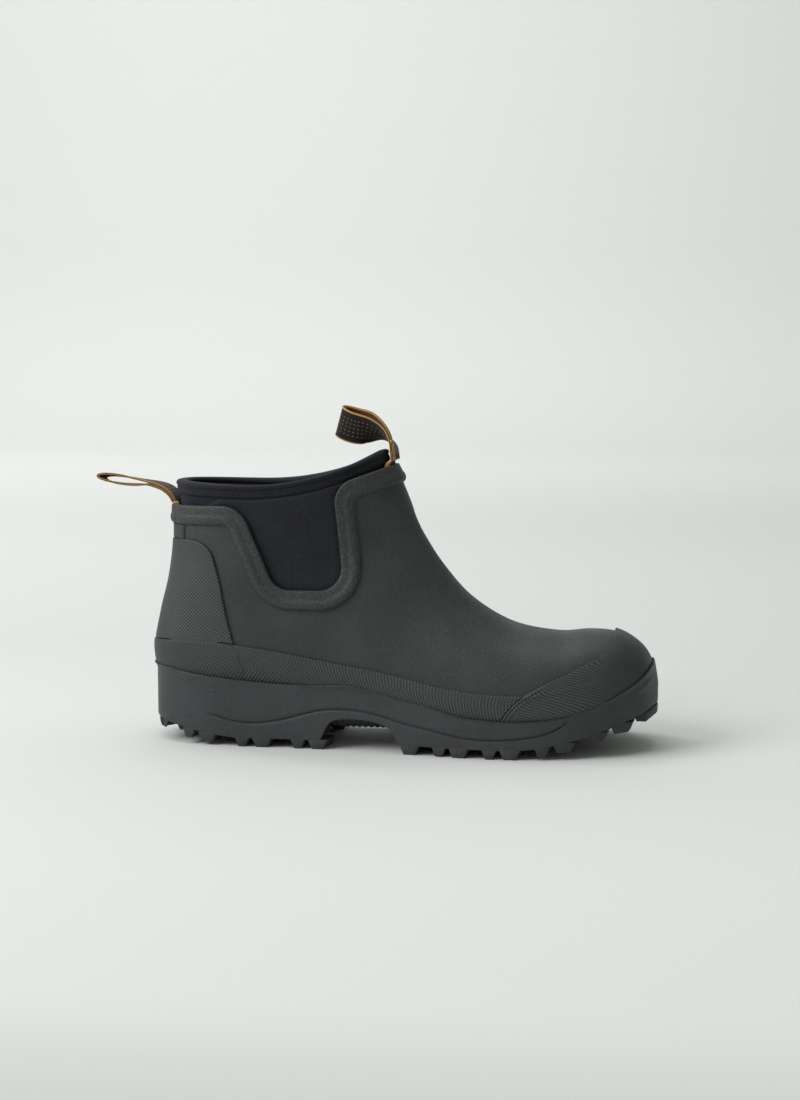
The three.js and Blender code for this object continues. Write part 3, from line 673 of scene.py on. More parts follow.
# ---------------------------------------------------------------- finishes
@dataclass
class Shader:
    """A material under construction: one principled shader and the nodes that feed it."""

    name: str
    roughness: float
    specular: float = 0.5
    metallic: float = 0.0

    def __post_init__(self) -> None:
        """Creates the material with its constant values on the shader's own sockets."""
        self.material = bpy.data.materials.new(self.name)
        self.material.use_nodes = True
        self.nodes = self.material.node_tree.nodes
        self.links = self.material.node_tree.links
        self.shader = self.nodes["Principled BSDF"]
        self.shader.inputs["Roughness"].default_value = self.roughness
        self.shader.inputs["Specular IOR Level"].default_value = self.specular
        self.shader.inputs["Metallic"].default_value = self.metallic
        self.coordinates = self.nodes.new("ShaderNodeTexCoord")

    def add(self, kind: str, **settings: object) -> Node:
        """Adds a node of a kind and sets its properties."""
        node = self.nodes.new(kind)
        for key, value in settings.items():
            setattr(node, key, value)
        return node

    def feed(self, source: bpy.types.NodeSocket, node: Node, socket: str | int) -> None:
        """Links an output to a node's input."""
        self.links.new(source, node.inputs[socket])

    def math(self, operation: str, *values: object) -> bpy.types.NodeSocket:
        """A math node over sockets and numbers.

        Args:
            operation: Blender's name for the operation.
            values: Sockets to link or numbers to set, in order.

        Returns:
            The node's output.
        """
        node = self.add("ShaderNodeMath", operation=operation)
        for n, value in enumerate(values):
            if isinstance(value, bpy.types.NodeSocket):
                self.feed(value, node, n)
            else:
                node.inputs[n].default_value = value
        return node.outputs[0]

    def noise(self, scale: float, detail: float = 3.0, stretch: tuple[float, ...] | None = None,
              own_map: bool = False) -> bpy.types.NodeSocket:
        """Noise on Object coordinates, or on the piece's UV map.

        Args:
            scale: Cells to a metre, or to a unit of the UV map.
            detail: Octaves.
            stretch: Scale of each axis before the noise, or None.
            own_map: True to read the UV map.

        Returns:
            The noise value, about 0.5 on average.
        """
        source = self.coordinates.outputs["UV" if own_map else "Object"]
        if stretch:
            mapping = self.add("ShaderNodeMapping")
            mapping.inputs["Scale"].default_value = stretch
            self.feed(source, mapping, "Vector")
            source = mapping.outputs[0]
        node = self.add("ShaderNodeTexNoise")
        node.inputs["Scale"].default_value = scale
        node.inputs["Detail"].default_value = detail
        self.feed(source, node, "Vector")
        return node.outputs["Fac"]

    def band(self, value: bpy.types.NodeSocket, low: float, high: float, start: float = 0.0,
             stop: float = 1.0) -> bpy.types.NodeSocket:
        """Maps a value smoothly from low..high to start..stop, clamped.

        Args:
            value: The value.
            low: Value that gives start.
            high: Value that gives stop.
            start: Result at and beyond low.
            stop: Result at and beyond high.

        Returns:
            The mapped value.
        """
        node = self.add("ShaderNodeMapRange", interpolation_type="SMOOTHSTEP")
        self.feed(value, node, "Value")
        for key, number in zip(("From Min", "From Max", "To Min", "To Max"),
                               (low, high, start, stop)):
            node.inputs[key].default_value = number
        return node.outputs["Result"]

    def mix(self, share: bpy.types.NodeSocket, first: object, second: object) -> bpy.types.NodeSocket:
        """Mixes two colours, each a socket or a tuple of linear red, green and blue."""
        node = self.add("ShaderNodeMix", data_type="RGBA")
        self.feed(share, node, 0)
        for socket, colour in ((6, first), (7, second)):
            if isinstance(colour, bpy.types.NodeSocket):
                self.feed(colour, node, socket)
            else:
                node.inputs[socket].default_value = (*colour, 1)
        return node.outputs[2]

    def bump(self, height: bpy.types.NodeSocket, depth: float,
             below: bpy.types.NodeSocket | None = None) -> bpy.types.NodeSocket:
        """Turns a height into a normal.

        Args:
            height: Height from 0 to 1.
            depth: Millimetres for a height of 1.
            below: Normal of the bumps under this one, or None.

        Returns:
            The normal.
        """
        node = self.add("ShaderNodeBump")
        node.inputs["Strength"].default_value = 1.0
        node.inputs["Distance"].default_value = depth * MM
        self.feed(height, node, "Height")
        if below:
            self.feed(below, node, "Normal")
        return node.outputs["Normal"]

    def weave(self, pitch: float, angle: float = 45.0) -> bpy.types.NodeSocket:
        """Crossing ridges on the piece's UV map.

        Args:
            pitch: Spacing in millimetres.
            angle: Direction of the ridges in degrees.

        Returns:
            Height from 0 to 1.
        """
        mapping = self.add("ShaderNodeMapping")
        mapping.inputs["Rotation"].default_value = (0, 0, math.radians(angle))
        turns = 2 * math.pi * UV_MM / pitch
        mapping.inputs["Scale"].default_value = (turns, turns, 1)
        self.feed(self.coordinates.outputs["UV"], mapping, "Vector")
        parts = self.add("ShaderNodeSeparateXYZ")
        self.feed(mapping.outputs[0], parts, 0)
        ridges = self.math("MULTIPLY", self.math("SINE", parts.outputs[0]),
                           self.math("SINE", parts.outputs[1]))
        return self.math("MULTIPLY_ADD", ridges, 0.5, 0.5)

    def finish(self, colour: object, normal: bpy.types.NodeSocket | None = None,
               roughness: bpy.types.NodeSocket | None = None) -> bpy.types.Material:
        """Completes the material.

        Args:
            colour: Colour socket, or linear red, green and blue.
            normal: Normal, or None for the surface's own.
            roughness: Roughness, or None for the shader's constant.

        Returns:
            The material.
        """
        if isinstance(colour, bpy.types.NodeSocket):
            self.feed(colour, self.shader, "Base Color")
        else:
            self.shader.inputs["Base Color"].default_value = (*colour, 1)
        if normal:
            self.feed(normal, self.shader, "Normal")
        if roughness:
            self.feed(roughness, self.shader, "Roughness")
        return self.material


@dataclass(frozen=True)
class MattRubber:
    """Dip-moulded matt rubber with a fine pebble grain, a little bloom and dust, and painted
    highlights and shade on its relief.

    colour: linear colour; grain: size of the pebbles in millimetres; depth: their depth; hatch:
    pitch of a fine crossed relief, or 0 for none; hatch_turn: its slant in degrees; fades: where
    the relief fades, as an axis and the millimetres at which it is gone and full; dust: share of
    tan specks; speckle: how far the pebbles' tops are lighter, a painted highlight.
    """

    name: str
    colour: tuple[float, float, float]
    grain: float = 0.9
    depth: float = 0.05
    hatch: float = 0.0
    hatch_depth: float = 0.12
    hatch_turn: float = 4.0
    fades: tuple[tuple[int, float, float], ...] = ()
    roughness: float = 0.55
    dust: float = 0.0
    pebble_highlight: float = 0.3
    specular: float = 0.42

    def make(self) -> bpy.types.Material:
        """Builds the material."""
        s = Shader(self.name, self.roughness, self.specular)
        cloud = s.noise(28, 3)
        pebble = s.noise(1000 / self.grain, 2)
        lighter = tuple(c * 1.9 + 0.008 for c in self.colour)
        darker = tuple(c * 0.88 for c in self.colour)
        colour = s.mix(s.band(cloud, 0.35, 0.66), darker, tuple(c * 1.12 for c in self.colour))
        # Painted highlight: the pebbles' tops are lighter.
        colour = s.mix(s.band(pebble, 0.44, 0.70, 0.0, self.pebble_highlight), colour, lighter)
        normal = s.bump(pebble, self.depth * 2)
        normal = s.bump(s.noise(150, 2), 0.12, normal)
        if self.hatch:
            relief = s.band(s.weave(self.hatch, self.hatch_turn), 0.42, 0.84)
            patch = s.band(s.noise(16, 1), 0.30, 0.56, 0.62, 1.0)
            places = s.add("ShaderNodeSeparateXYZ")
            s.feed(s.coordinates.outputs["Object"], places, 0)
            for axis, gone, full in self.fades:
                patch = s.math("MULTIPLY", patch,
                               s.band(places.outputs[axis], gone * MM, full * MM))
            relief = s.math("MULTIPLY", relief, patch)
            normal = s.bump(relief, self.hatch_depth, normal)
            # Painted shade between the hatch's ridges, then a painted highlight on their tops.
            colour = s.mix(patch, colour, tuple(c * 0.72 for c in self.colour))
            colour = s.mix(s.math("MULTIPLY", relief, 0.9), colour,
                           tuple(c * 2.7 + 0.016 for c in self.colour))
        if self.dust:
            specks = s.band(s.noise(900, 1), 0.735, 0.80, 0.0, 0.8)
            colour = s.mix(specks, colour, (0.20, 0.165, 0.115))
            film = s.band(s.noise(60, 4), 0.5, 0.8, 0.0, self.dust)
            colour = s.mix(film, colour, (0.12, 0.108, 0.09))
        rough = s.band(s.noise(45, 3), 0.3, 0.7, self.roughness - 0.05, self.roughness + 0.07)
        return s.finish(colour, normal, rough)


@dataclass(frozen=True)
class KnitCloth:
    """Fine knit or woven cloth: rows of stitches on the UV map with a painted highlight on their
    tops, fuzz and a soft sheen.
    """

    name: str
    colour: tuple[float, float, float]
    pitch: float = 0.9
    depth: float = 0.06
    sheen: float = 0.25
    roughness: float = 0.85

    def make(self) -> bpy.types.Material:
        """Builds the material."""
        s = Shader(self.name, self.roughness, 0.25)
        s.shader.inputs["Sheen Weight"].default_value = self.sheen
        s.shader.inputs["Sheen Roughness"].default_value = 0.45
        s.shader.inputs["Sheen Tint"].default_value = (0.6, 0.65, 0.8, 1)
        rows = s.weave(self.pitch)
        fuzz = s.noise(2400, 2)
        lighter = tuple(c * 2.0 + 0.004 for c in self.colour)
        colour = s.mix(s.band(s.noise(35, 3), 0.3, 0.7), self.colour,
                       tuple(c * 1.3 for c in self.colour))
        # Painted highlight on the tops of the stitch rows.
        colour = s.mix(s.band(rows, 0.45, 1.0, 0.0, 0.6), colour, lighter)
        colour = s.mix(s.band(s.noise(700, 2), 0.5, 0.72, 0.0, 0.5), colour, lighter)
        normal = s.bump(fuzz, 0.08, s.bump(rows, self.depth))
        return s.finish(colour, normal)


@dataclass(frozen=True)
class Webbing:
    """Woven tape: dark outer face, brown inner face and gold selvedges, in the UV map's V.

    The outer face runs from V 0 to its width, and the inner face follows it.
    """

    name: str
    width: float
    selvedge: float = 1.15
    ground: tuple[float, float, float] = (0.010, 0.009, 0.008)
    inside: tuple[float, float, float] = (0.16, 0.075, 0.022)
    gold: tuple[float, float, float] = (0.62, 0.34, 0.10)

    def make(self) -> bpy.types.Material:
        """Builds the material."""
        s = Shader(self.name, 0.8, 0.3)
        s.shader.inputs["Sheen Weight"].default_value = 0.15
        parts = s.add("ShaderNodeSeparateXYZ")
        s.feed(s.coordinates.outputs["UV"], parts, 0)
        across = s.math("MULTIPLY", parts.outputs[1], UV_MM)
        on_face = s.math("MODULO", across, self.width)
        to_edge = s.math("MINIMUM", on_face, s.math("SUBTRACT", self.width, on_face))
        edge = s.band(to_edge, self.selvedge, self.selvedge * 0.72)
        inner = s.math("GREATER_THAN", across, self.width)
        face = s.mix(inner, self.ground, self.inside)
        diamond = s.weave(3.6)
        motif = s.band(diamond, 0.80, 0.9, 0.0, 1.0)
        middle = s.band(to_edge, 3.4, 4.6)
        only_outside = s.math("MULTIPLY", s.math("SUBTRACT", 1.0, inner), middle)
        face = s.mix(s.math("MULTIPLY", s.math("MULTIPLY", motif, only_outside), 0.75), face,
                     (0.30, 0.19, 0.08))
        colour = s.mix(edge, face, self.gold)
        ribs = s.weave(0.8, 0)
        # Painted shade in the troughs between the ribs.
        colour = s.mix(s.band(ribs, 0.0, 0.5, 0.45, 0.0), colour, (0.012, 0.008, 0.005))
        normal = s.bump(s.noise(2600, 1), 0.05, s.bump(ribs, 0.14))
        return s.finish(colour, normal)


@dataclass(frozen=True)
class Plain:
    """A simple stock: one colour with a mottle, a fine grain and its own gloss."""

    name: str
    colour: tuple[float, float, float]
    roughness: float
    metallic: float = 0.0
    grain: float = 1.2
    depth: float = 0.05
    stretch: tuple[float, float, float] | None = None

    def make(self) -> bpy.types.Material:
        """Builds the material."""
        s = Shader(self.name, self.roughness, 0.4, self.metallic)
        speck = s.noise(1000 / self.grain, 3, self.stretch)
        colour = s.mix(s.band(speck, 0.25, 0.75), tuple(c * 0.72 for c in self.colour),
                       tuple(min(1.0, c * 1.25) for c in self.colour))
        rough = s.band(s.noise(80, 2), 0.3, 0.7, self.roughness - 0.06, self.roughness + 0.06)
        return s.finish(colour, s.bump(speck, self.depth), rough)


TAPE_WIDTH = 20.0
SOLE_RUBBER = MattRubber("sole_rubber", (0.034, 0.0375, 0.039), 1.0, 0.06, roughness=0.56)
TREAD_RUBBER = MattRubber("tread_rubber", (0.030, 0.033, 0.034), 0.8, 0.07, dust=0.35,
                          roughness=0.6)
UPPER_RUBBER = MattRubber("upper_rubber", (0.0315, 0.0348, 0.0345), 1.2, 0.14, pebble_highlight=0.22)
FOXING_RUBBER = MattRubber("foxing_rubber", (0.030, 0.0333, 0.0333), 0.8, 0.04, hatch=2.1,
                           hatch_depth=0.3, fades=((0, -60, -36),))
CAP_RUBBER = MattRubber("cap_rubber", (0.031, 0.0343, 0.0336), 0.8, 0.05, hatch=2.1,
                        hatch_depth=0.22, fades=((0, 226, 200), (2, 20, 27)))
COUNTER_RUBBER = MattRubber("counter_rubber", (0.034, 0.0375, 0.0375), 0.9, 0.045, hatch=2.1,
                            hatch_depth=0.22, fades=((0, -62, -36), (2, 122, 92)))
BAND_RUBBER = MattRubber("band_rubber", (0.028, 0.031, 0.0305), 1.1, 0.2, roughness=0.58,
                         pebble_highlight=0.7)
NEOPRENE = KnitCloth("neoprene_knit", (0.0125, 0.0128, 0.0165), 1.5, 0.07, 0.12)
BINDING = KnitCloth("binding_knit", (0.0095, 0.0100, 0.0135), 0.7, 0.05, 0.12)
FOOTBED_CLOTH = KnitCloth("footbed_cloth", (0.030, 0.031, 0.036), 1.2, 0.08, 0.3)
FOAM = Plain("footbed_foam", (0.035, 0.036, 0.04), 0.9, grain=0.8, depth=0.12)
LOOP_WEBBING = Webbing("loop_webbing", TAPE_WIDTH)
THREAD = Plain("sewing_thread", (0.013, 0.013, 0.016), 0.6, grain=0.3, depth=0.05)
SHANK_STEEL = Plain("shank_steel", (0.5, 0.51, 0.53), 0.35, 1.0, 0.6, 0.01, (0.06, 1, 1))
BOARD = Plain("insole_fibre", (0.40, 0.29, 0.17), 0.85, grain=1.5, depth=0.06)
SPONGE = Plain("sponge_rubber", (0.08, 0.08, 0.078), 0.95, grain=1.6, depth=0.3)
STIFFENER = Plain("stiffener_cloth", (0.09, 0.09, 0.1), 0.9, grain=0.9, depth=0.1)


@dataclass
class Paint:
    """Hands out each finish's material, made once."""

    made: dict[str, bpy.types.Material] = field(default_factory=dict)

    def dress(self, piece: Mesh, *finishes: object) -> Mesh:
        """Gives a piece its finishes, one to a material slot."""
        piece.data.materials.clear()
        for finish in finishes:
            if finish.name not in self.made:
                self.made[finish.name] = finish.make()
            piece.data.materials.append(self.made[finish.name])
        return piece


# ---------------------------------------------------------------- the moulded upper
def cut_away(piece: Mesh, doomed: Points) -> Mesh:
    """Deletes the vertices that a mask marks, with their faces."""
    edit(piece, lambda: bpy.ops.mesh.select_all(action="DESELECT"))
    piece.data.vertices.foreach_set("select", doomed)
    bpy.ops.object.mode_set(mode="EDIT")
    bpy.ops.mesh.delete(type="VERT")
    bpy.ops.object.mode_set(mode="OBJECT")
    return piece


def face_outwards(piece: Mesh) -> Mesh:
    """Turns an open shell's faces away from its middle."""
    mesh = piece.data
    count = len(mesh.polygons)
    centres, normals = np.zeros(count * 3), np.zeros(count * 3)
    mesh.polygons.foreach_get("center", centres)
    mesh.polygons.foreach_get("normal", normals)
    centres, normals = centres.reshape(-1, 3), normals.reshape(-1, 3)
    outwards = ((centres - centres.mean(0)) * normals).sum()
    return piece if outwards > 0 else edit(piece, lambda: bpy.ops.mesh.flip_normals())


def first_crossing(values: Points, t: Points, level: float, rising: bool = True) -> Points:
    """For each column of values, the station at which they first pass a level.

    Args:
        values: One row for each station in t, one column for each line.
        t: Station numbers, in order.
        level: The level.
        rising: True where the values pass it upwards.

    Returns:
        Station numbers, one for each column.
    """
    above = values > level if rising else values < level
    k = np.clip(above.argmax(0), 1, len(t) - 1)
    columns = np.arange(values.shape[1])
    low, high = values[k - 1, columns], values[k, columns]
    share = np.clip((level - low) / np.where(high == low, 1, high - low), 0, 1)
    return t[k - 1] + (t[k] - t[k - 1]) * share


def lines_over(turns: Points, stations: Points, grow: float) -> Points:
    """Side-view points of the last on a lattice of stations and turns."""
    laid = LAST.point(stations[:, None], turns[None, :], grow)
    return laid[..., [0, 2]]


def ring_lattice(turns: Points, first: Points, last: Points, rows: int, grow: float) -> Points:
    """Points of a ring of the last between two stations that vary round it.

    Args:
        turns: Turn value of each column.
        first: Station at which each column starts.
        last: Station at which each column ends.
        rows: Number of rows.
        grow: Height above the last.

    Returns:
        Points as rows, columns, xyz.
    """
    share = np.linspace(0, 1, rows)[:, None]
    return LAST.point(first + (last - first) * share, turns[None, :], grow)


@dataclass
class Upper:
    """The moulded upper and the rubber overlays on it."""

    paint: Paint
    columns: int = 400
    rows: int = 260
    topline: float = 2.6
    tuck: float = 4.0
    cap_lines: int = 330
    cap_level: float = 1.88
    cap_face: float = 1.9
    cap_rib_from: float = 1.5
    stay_end: float = -38.3
    stay_foot: float = 122.1
    joint_at: float = -44.2
    cap_profile: tuple[tuple[float, float], ...] = (
        (0.0, 0.45), (0.12, 1.3), (0.4, 1.9), (0.8, 2.1), (1.15, 2.0), (1.5, 1.62), (1.85, 1.6),
        (2.2, 1.95), (2.6, 2.15), (3.0, 2.1), (3.4, 1.9), (4.2, 1.88))
    band_profile: tuple[tuple[float, float], ...] = (
        (5.9, 0.35), (5.82, 1.0), (5.5, 1.45), (4.8, 1.72), (3.8, 1.86), (2.6, 1.98), (1.6, 2.02),
        (0.9, 2.06), (0.3, 2.22), (-0.4, 2.5), (-1.2, 2.72), (-2.1, 2.8), (-3.0, 2.74),
        (-3.9, 2.5), (-4.7, 2.05), (-5.3, 1.45), (-5.7, 0.85), (-5.9, 0.35))

    def shell(self) -> Mesh:
        """The upper itself, open at the top line and under the foot."""
        turns = np.linspace(0, 1, self.columns)
        ends = np.full_like(turns, 0.05), np.full_like(turns, float(LAST.end))
        points = ring_lattice(turns, *ends, self.rows, 0.0)
        pole = np.broadcast_to(LAST.point(0.0, 0.0, 0.0), points[:1].shape)
        piece = weld(grid("upper_shell", np.concatenate([pole, points])), 0.01)
        table = coordinates(piece)
        middle = np.abs(table[:, 1]) < 46 * (1 - ((table[:, 0] - 90) / 165) ** 2) - 17
        under = (table[:, 2] < 30 + 6 * smoothstep(table[:, 0], 0, -50)) & middle
        under &= (table[:, 0] > -40) & (table[:, 0] < 222)
        over = (BAND_LINE.distance(table[:, [0, 2]]) > self.topline) & (table[:, 2] > 80)
        cut_away(piece, under | (over & (table[:, 0] < 105)))
        face_outwards(piece)
        modify(piece, "SOLIDIFY", thickness=LAYERS.upper * MM, offset=-1.0)
        return ride(self.paint.dress(smooth(piece), UPPER_RUBBER), Body.BOOT, "upper_rubber",
                    "upper_shell")

    def cap_relief(self, xz: Points) -> Points:
        """Ridge on the toe cap where the foxing's upper edge shows through."""
        ridge = SideLine.through([(150, 35.5), (170, 36.6), (185, 39.2), (205, 43.6), (228, 48.4)])
        fade = smoothstep(xz[..., 0], 226, 200)
        return 0.34 * np.exp(-(ridge.distance(xz) / 0.8) ** 2) * fade

    def cap_height(self, height: float, xz: Points) -> Points:
        """Heights of one row of the cap's border, whose rib stands only along its lower part."""
        if height < self.cap_rib_from:
            return np.full(len(xz), height)
        return self.cap_level + (height - self.cap_level) * smoothstep(xz[:, 1], 43, 37)

    def cap_columns(self, insets: Sequence[float]) -> tuple[Points, Points, list[Points]]:
        """Lines of the last that the cap's rows are laid along, evenly spaced on its edge.

        Args:
            insets: Distances inside the cap's edge.

        Returns:
            The lines' turn values, the station at which each leaves the sole's rim, and its
            stations at each of the insets.
        """
        scan = np.linspace(0.2, 8.0, 260)
        trial = np.linspace(0.02, 0.98, 900)
        xz = lines_over(trial, scan, 1.0)
        to_edge = CAP_EDGE.distance(xz)
        under_rim = xz[..., 1] - SOLE_RIM.height(xz[..., 0])
        start = first_crossing(under_rim, scan, -self.tuck)
        ends = LAST.point(first_crossing(to_edge, scan, 0.0, rising=False), trial, 1.0)
        fits = ends[:, 2] > SOLE_RIM.height(ends[:, 0]) - self.tuck
        trial, start, to_edge = trial[fits], start[fits], to_edge[:, fits]
        pace = walk(ends[fits])
        turns = np.interp(np.linspace(0, pace[-1], self.cap_lines), pace, trial)
        levels = [first_crossing(to_edge, scan, inset, rising=False) for inset in insets]
        return turns, np.interp(turns, trial, start), [
            np.interp(turns, trial, level) for level in levels]

    def toe_cap(self) -> Mesh:
        """The toe cap, with a doubled rib along the lower part of its edge."""
        turns, front, levels = self.cap_columns([inset for inset, _ in self.cap_profile])
        rows = []
        for (_, height), t in zip(self.cap_profile, levels):
            spot = LAST.point(t, turns, 1.0)[..., [0, 2]]
            relief = self.cap_relief(spot) * (height > self.cap_rib_from)
            rows.append(LAST.point(t, turns, self.cap_height(height, spot) + relief))
        for share in np.linspace(0, 1, 62)[1:]:
            t = levels[-1] + (front - levels[-1]) * share
            spot = LAST.point(t, turns, 1.0)[..., [0, 2]]
            rows.append(LAST.point(t, turns, self.cap_face + self.cap_relief(spot)))
        for share in np.linspace(1, 0, 16):
            t = levels[0] + (front - levels[0]) * share
            rows.append(LAST.point(t, turns, LAYERS.gap))
        piece = smooth(sweep("toe_cap", np.array(rows), closed=False), 50)
        return ride(self.paint.dress(piece, CAP_RUBBER), Body.BOOT, "textured_rubber", "toe_cap")

    def foxing_relief(self, xz: Points) -> Points:
        """Step on the foxing where the heel counter runs on under it."""
        off = COUNTER_EDGE.distance(xz)
        below = smoothstep(xz[..., 1], 63, 61)
        return (0.28 * (1 - smoothstep(off, -0.8, 0.3)) - 0.3 * np.exp(-(off / 0.45) ** 2)) * below

    def foxing(self) -> Mesh:
        """The foxing strip, from one edge of the toe cap round the heel to the other."""
        x = np.linspace(-75, 190, 500)
        low, high = SOLE_RIM.height(x) - self.tuck, FOXING_TOP.height(x)
        depth = np.maximum(high - low, 1)
        outer = [(0.0, 0.4), (0.1, 1.0), (0.35, 1.5), (0.8, 1.78), (1.3, 1.82)]
        outer += [(inset, LAYERS.foxing) for inset in np.linspace(2.4, 14, 9)]
        rows = [(high - np.minimum(inset, depth * inset / 14.5), grow) for inset, grow in outer]
        rows.append((low, LAYERS.foxing))
        rows += [(low + (high - low) * share, LAYERS.gap) for share in np.linspace(0, 1, 6)]
        laid = []
        shares = None
        for height, grow in rows:
            line = SideLine(np.stack([x, height], 1))
            to_cap = CAP_EDGE.distance(line.points)
            stop = float(np.interp(-LAYERS.gap, to_cap[300:], line.walked[300:]))
            relief = self.foxing_relief if grow > 1.2 else None
            row = Row(line, 0.0, grow, (0.0, stop), relief)
            shares = row.even(330) if shares is None else shares
            laid.append(round_the_boot(row, shares, closed=False))
        across = walk(np.array(laid)[:, 300])
        piece = smooth(sweep("foxing_strip", np.array(laid), False, across), 50)
        return ride(self.paint.dress(piece, FOXING_RUBBER), Body.BOOT, "textured_rubber",
                    "foxing_strip")

    def counter(self) -> Mesh:
        """The heel counter: rows follow its border and close on the middle of the heel."""
        profile = [(0.0, 0.4), (0.08, 0.85), (0.3, 1.25), (0.7, 1.47), (1.2, 1.5), (2.4, 1.5)]
        rings = []
        bottom_shares = front_shares = None
        for inset, grow in profile + [(2.4, LAYERS.gap), (0.0, LAYERS.gap)]:
            lift = 0.1 + inset
            low_x = FOXING_TOP.place(FOXING_TOP.walked, lift)
            reach = COUNTER_EDGE.distance(low_x)
            stop_low = float(np.interp(-inset, reach, FOXING_TOP.walked))
            edge = COUNTER_EDGE.place(COUNTER_EDGE.walked, -inset)
            up = FOXING_TOP.distance(edge)
            stop_front = float(np.interp(-lift, -up[60:], COUNTER_EDGE.walked[60:]))
            bottom = Row(FOXING_TOP, lift, grow, (0.0, stop_low))
            front = Row(COUNTER_EDGE, -inset, grow, (0.0, stop_front))
            if bottom_shares is None:
                bottom_shares, front_shares = bottom.even(70), front.even(130)
            ring = []
            for side in (Side.LATERAL, Side.MEDIAL):
                t0, turn0, _ = bottom.chart(bottom_shares, side)
                t1, turn1, _ = front.chart(front_shares[::-1], side)
                t, turn = np.concatenate([t0, t1[1:]]), np.concatenate([turn0, turn1[1:]])
                signed = np.where(turn > 0.5, turn - 1, turn)
                ring.append((t, signed))
            t = np.concatenate([ring[0][0], ring[1][0][::-1][1:]])
            turn = np.concatenate([ring[0][1], ring[1][1][::-1][1:]])
            rings.append((t, turn, grow))
        centre = 13.3  # station of the middle of the heel
        border, hidden = rings[len(profile) - 1], rings[-1]
        outer = rings[:len(profile)]
        for share in np.linspace(1, 0, 40)[1:]:
            outer.append((centre + (border[0] - centre) * share, border[1] * share,
                          LAYERS.counter))
        under = [hidden]
        for share in np.linspace(1, 0, 14)[1:]:
            under.append((centre + (hidden[0] - centre) * share, hidden[1] * share, LAYERS.gap))
        points = np.array([LAST.point(t, turn, grow) for t, turn, grow in outer[::-1] + under])
        x, y, z = np.moveaxis(points, -1, 0)
        uv = np.stack([np.sign(y) * np.hypot(x + 60, y), z], -1)
        piece = smooth(weld(grid("heel_counter", points, uv)), 50)
        return ride(self.paint.dress(piece, COUNTER_RUBBER), Body.BOOT, "upper_rubber",
                    "heel_counter")

    def back_stay(self) -> Mesh:
        """The short strip between the counter and the band at the back of the heel."""
        x = np.linspace(-75, self.stay_end, 120)

        def ends(xz: Points) -> Points:
            """Rounds off the strip's free end."""
            return -0.75 * (1 - smoothstep(self.stay_end - xz[..., 0], 0.0, 0.5))

        low = np.full_like(x, self.stay_foot)
        high = BAND_LINE.height(x) - LAYERS.band_half - 0.1
        rows = [(low, 0.4), (low + 0.15, 0.9), (low + 0.5, LAYERS.stay)]
        rows += [(low + (high - low) * share, LAYERS.stay) for share in (0.3, 0.5, 0.75, 1.0)]
        rows += [(low + (high - low) * share, LAYERS.gap) for share in (1.0, 0.5, 0.0)]
        laid = []
        shares = np.linspace(0, 1, 60)
        for height, grow in rows:
            relief = ends if grow > 0.8 else None
            row = Row(SideLine(np.stack([x, height], 1)), 0.0, grow, None, relief)
            laid.append(round_the_boot(row, shares, closed=False))
        piece = smooth(sweep("back_stay", np.array(laid), closed=False), 50)
        return ride(self.paint.dress(piece, UPPER_RUBBER), Body.BOOT, "upper_rubber", "back_stay")

    def band(self) -> Mesh:
        """The topline band: a flange and a bead that run round the opening and its gussets."""
        def joint(xz: Points) -> Points:
            """Butt joint in the band beside the heel."""
            return -0.7 * np.exp(-((xz[..., 0] - self.joint_at) / 0.4) ** 2)

        laid = []
        shares = Row(BAND_LINE, 0.0, 2.0).even(430)
        for shift, grow in self.band_profile:
            relief = joint if grow > 1.2 else None
            row = Row(BAND_LINE, shift, grow, None, relief)
            laid.append(round_the_boot(row, shares, closed=True))
        for shift in np.linspace(-LAYERS.band_half, LAYERS.band_half, 5):
            row = Row(BAND_LINE, float(shift), LAYERS.gap)
            laid.append(round_the_boot(row, shares, closed=True))
        piece = smooth(sweep("topline_band", np.array(laid), closed=True), 60)
        return ride(self.paint.dress(piece, BAND_RUBBER), Body.BOOT, "band_rubber",
                    "topline_band")

    def build(self) -> list[Mesh]:
        """Builds every piece of the upper."""
        return [self.shell(), self.toe_cap(), self.foxing(), self.counter(), self.back_stay(),
                self.band()]


# ---------------------------------------------------------------- the sole unit
class Outline:
    """Outline of the sole from above, as two edges over the same lengths."""

    POINTS = ((-60.6, 0), (-54.5, -18.5), (-38, -30.2), (-10, -35.4), (30, -36.4), (65, -38.6),
              (100, -44.2), (130, -49), (156, -50.4), (182, -47.8), (204, -41.2), (223, -31),
              (237, -17), (243.6, 4), (239.5, 23), (226, 37.2), (206, 46.4), (182, 50.3),
              (155, 48.4), (125, 43), (92, 36.6), (60, 33.6), (25, 33.6), (-10, 34.6), (-38, 29.6),
              (-54.5, 18.5))

    def __init__(self, steps: int = 40) -> None:
        """Samples the centripetal spline through the points."""
        table = np.array(self.POINTS, float)
        count = len(table)
        self.loop = np.concatenate([
            centripetal([table[(k + n) % count] for n in (-1, 0, 1, 2)], steps)
            for k in range(count)])
        cut = int(self.loop[:, 0].argmax())
        self.lateral = self.loop[:cut + 1]
        self.medial = np.concatenate([self.loop[cut:], self.loop[:1]])[::-1]
        self.heel, self.toe = self.lateral[0, 0], self.lateral[-1, 0]

    def edge(self, x: Points, side: Side) -> Points:
        """Y of one edge of the outline at each x."""
        half = self.lateral if side is Side.LATERAL else self.medial
        return np.interp(x, np.maximum.accumulate(half[:, 0]), half[:, 1])

    def spine(self, x: Points) -> Points:
        """Y of the line from the middle of the heel to the tip of the toe."""
        return 4.0 * (np.asarray(x) - self.heel) / (self.toe - self.heel)


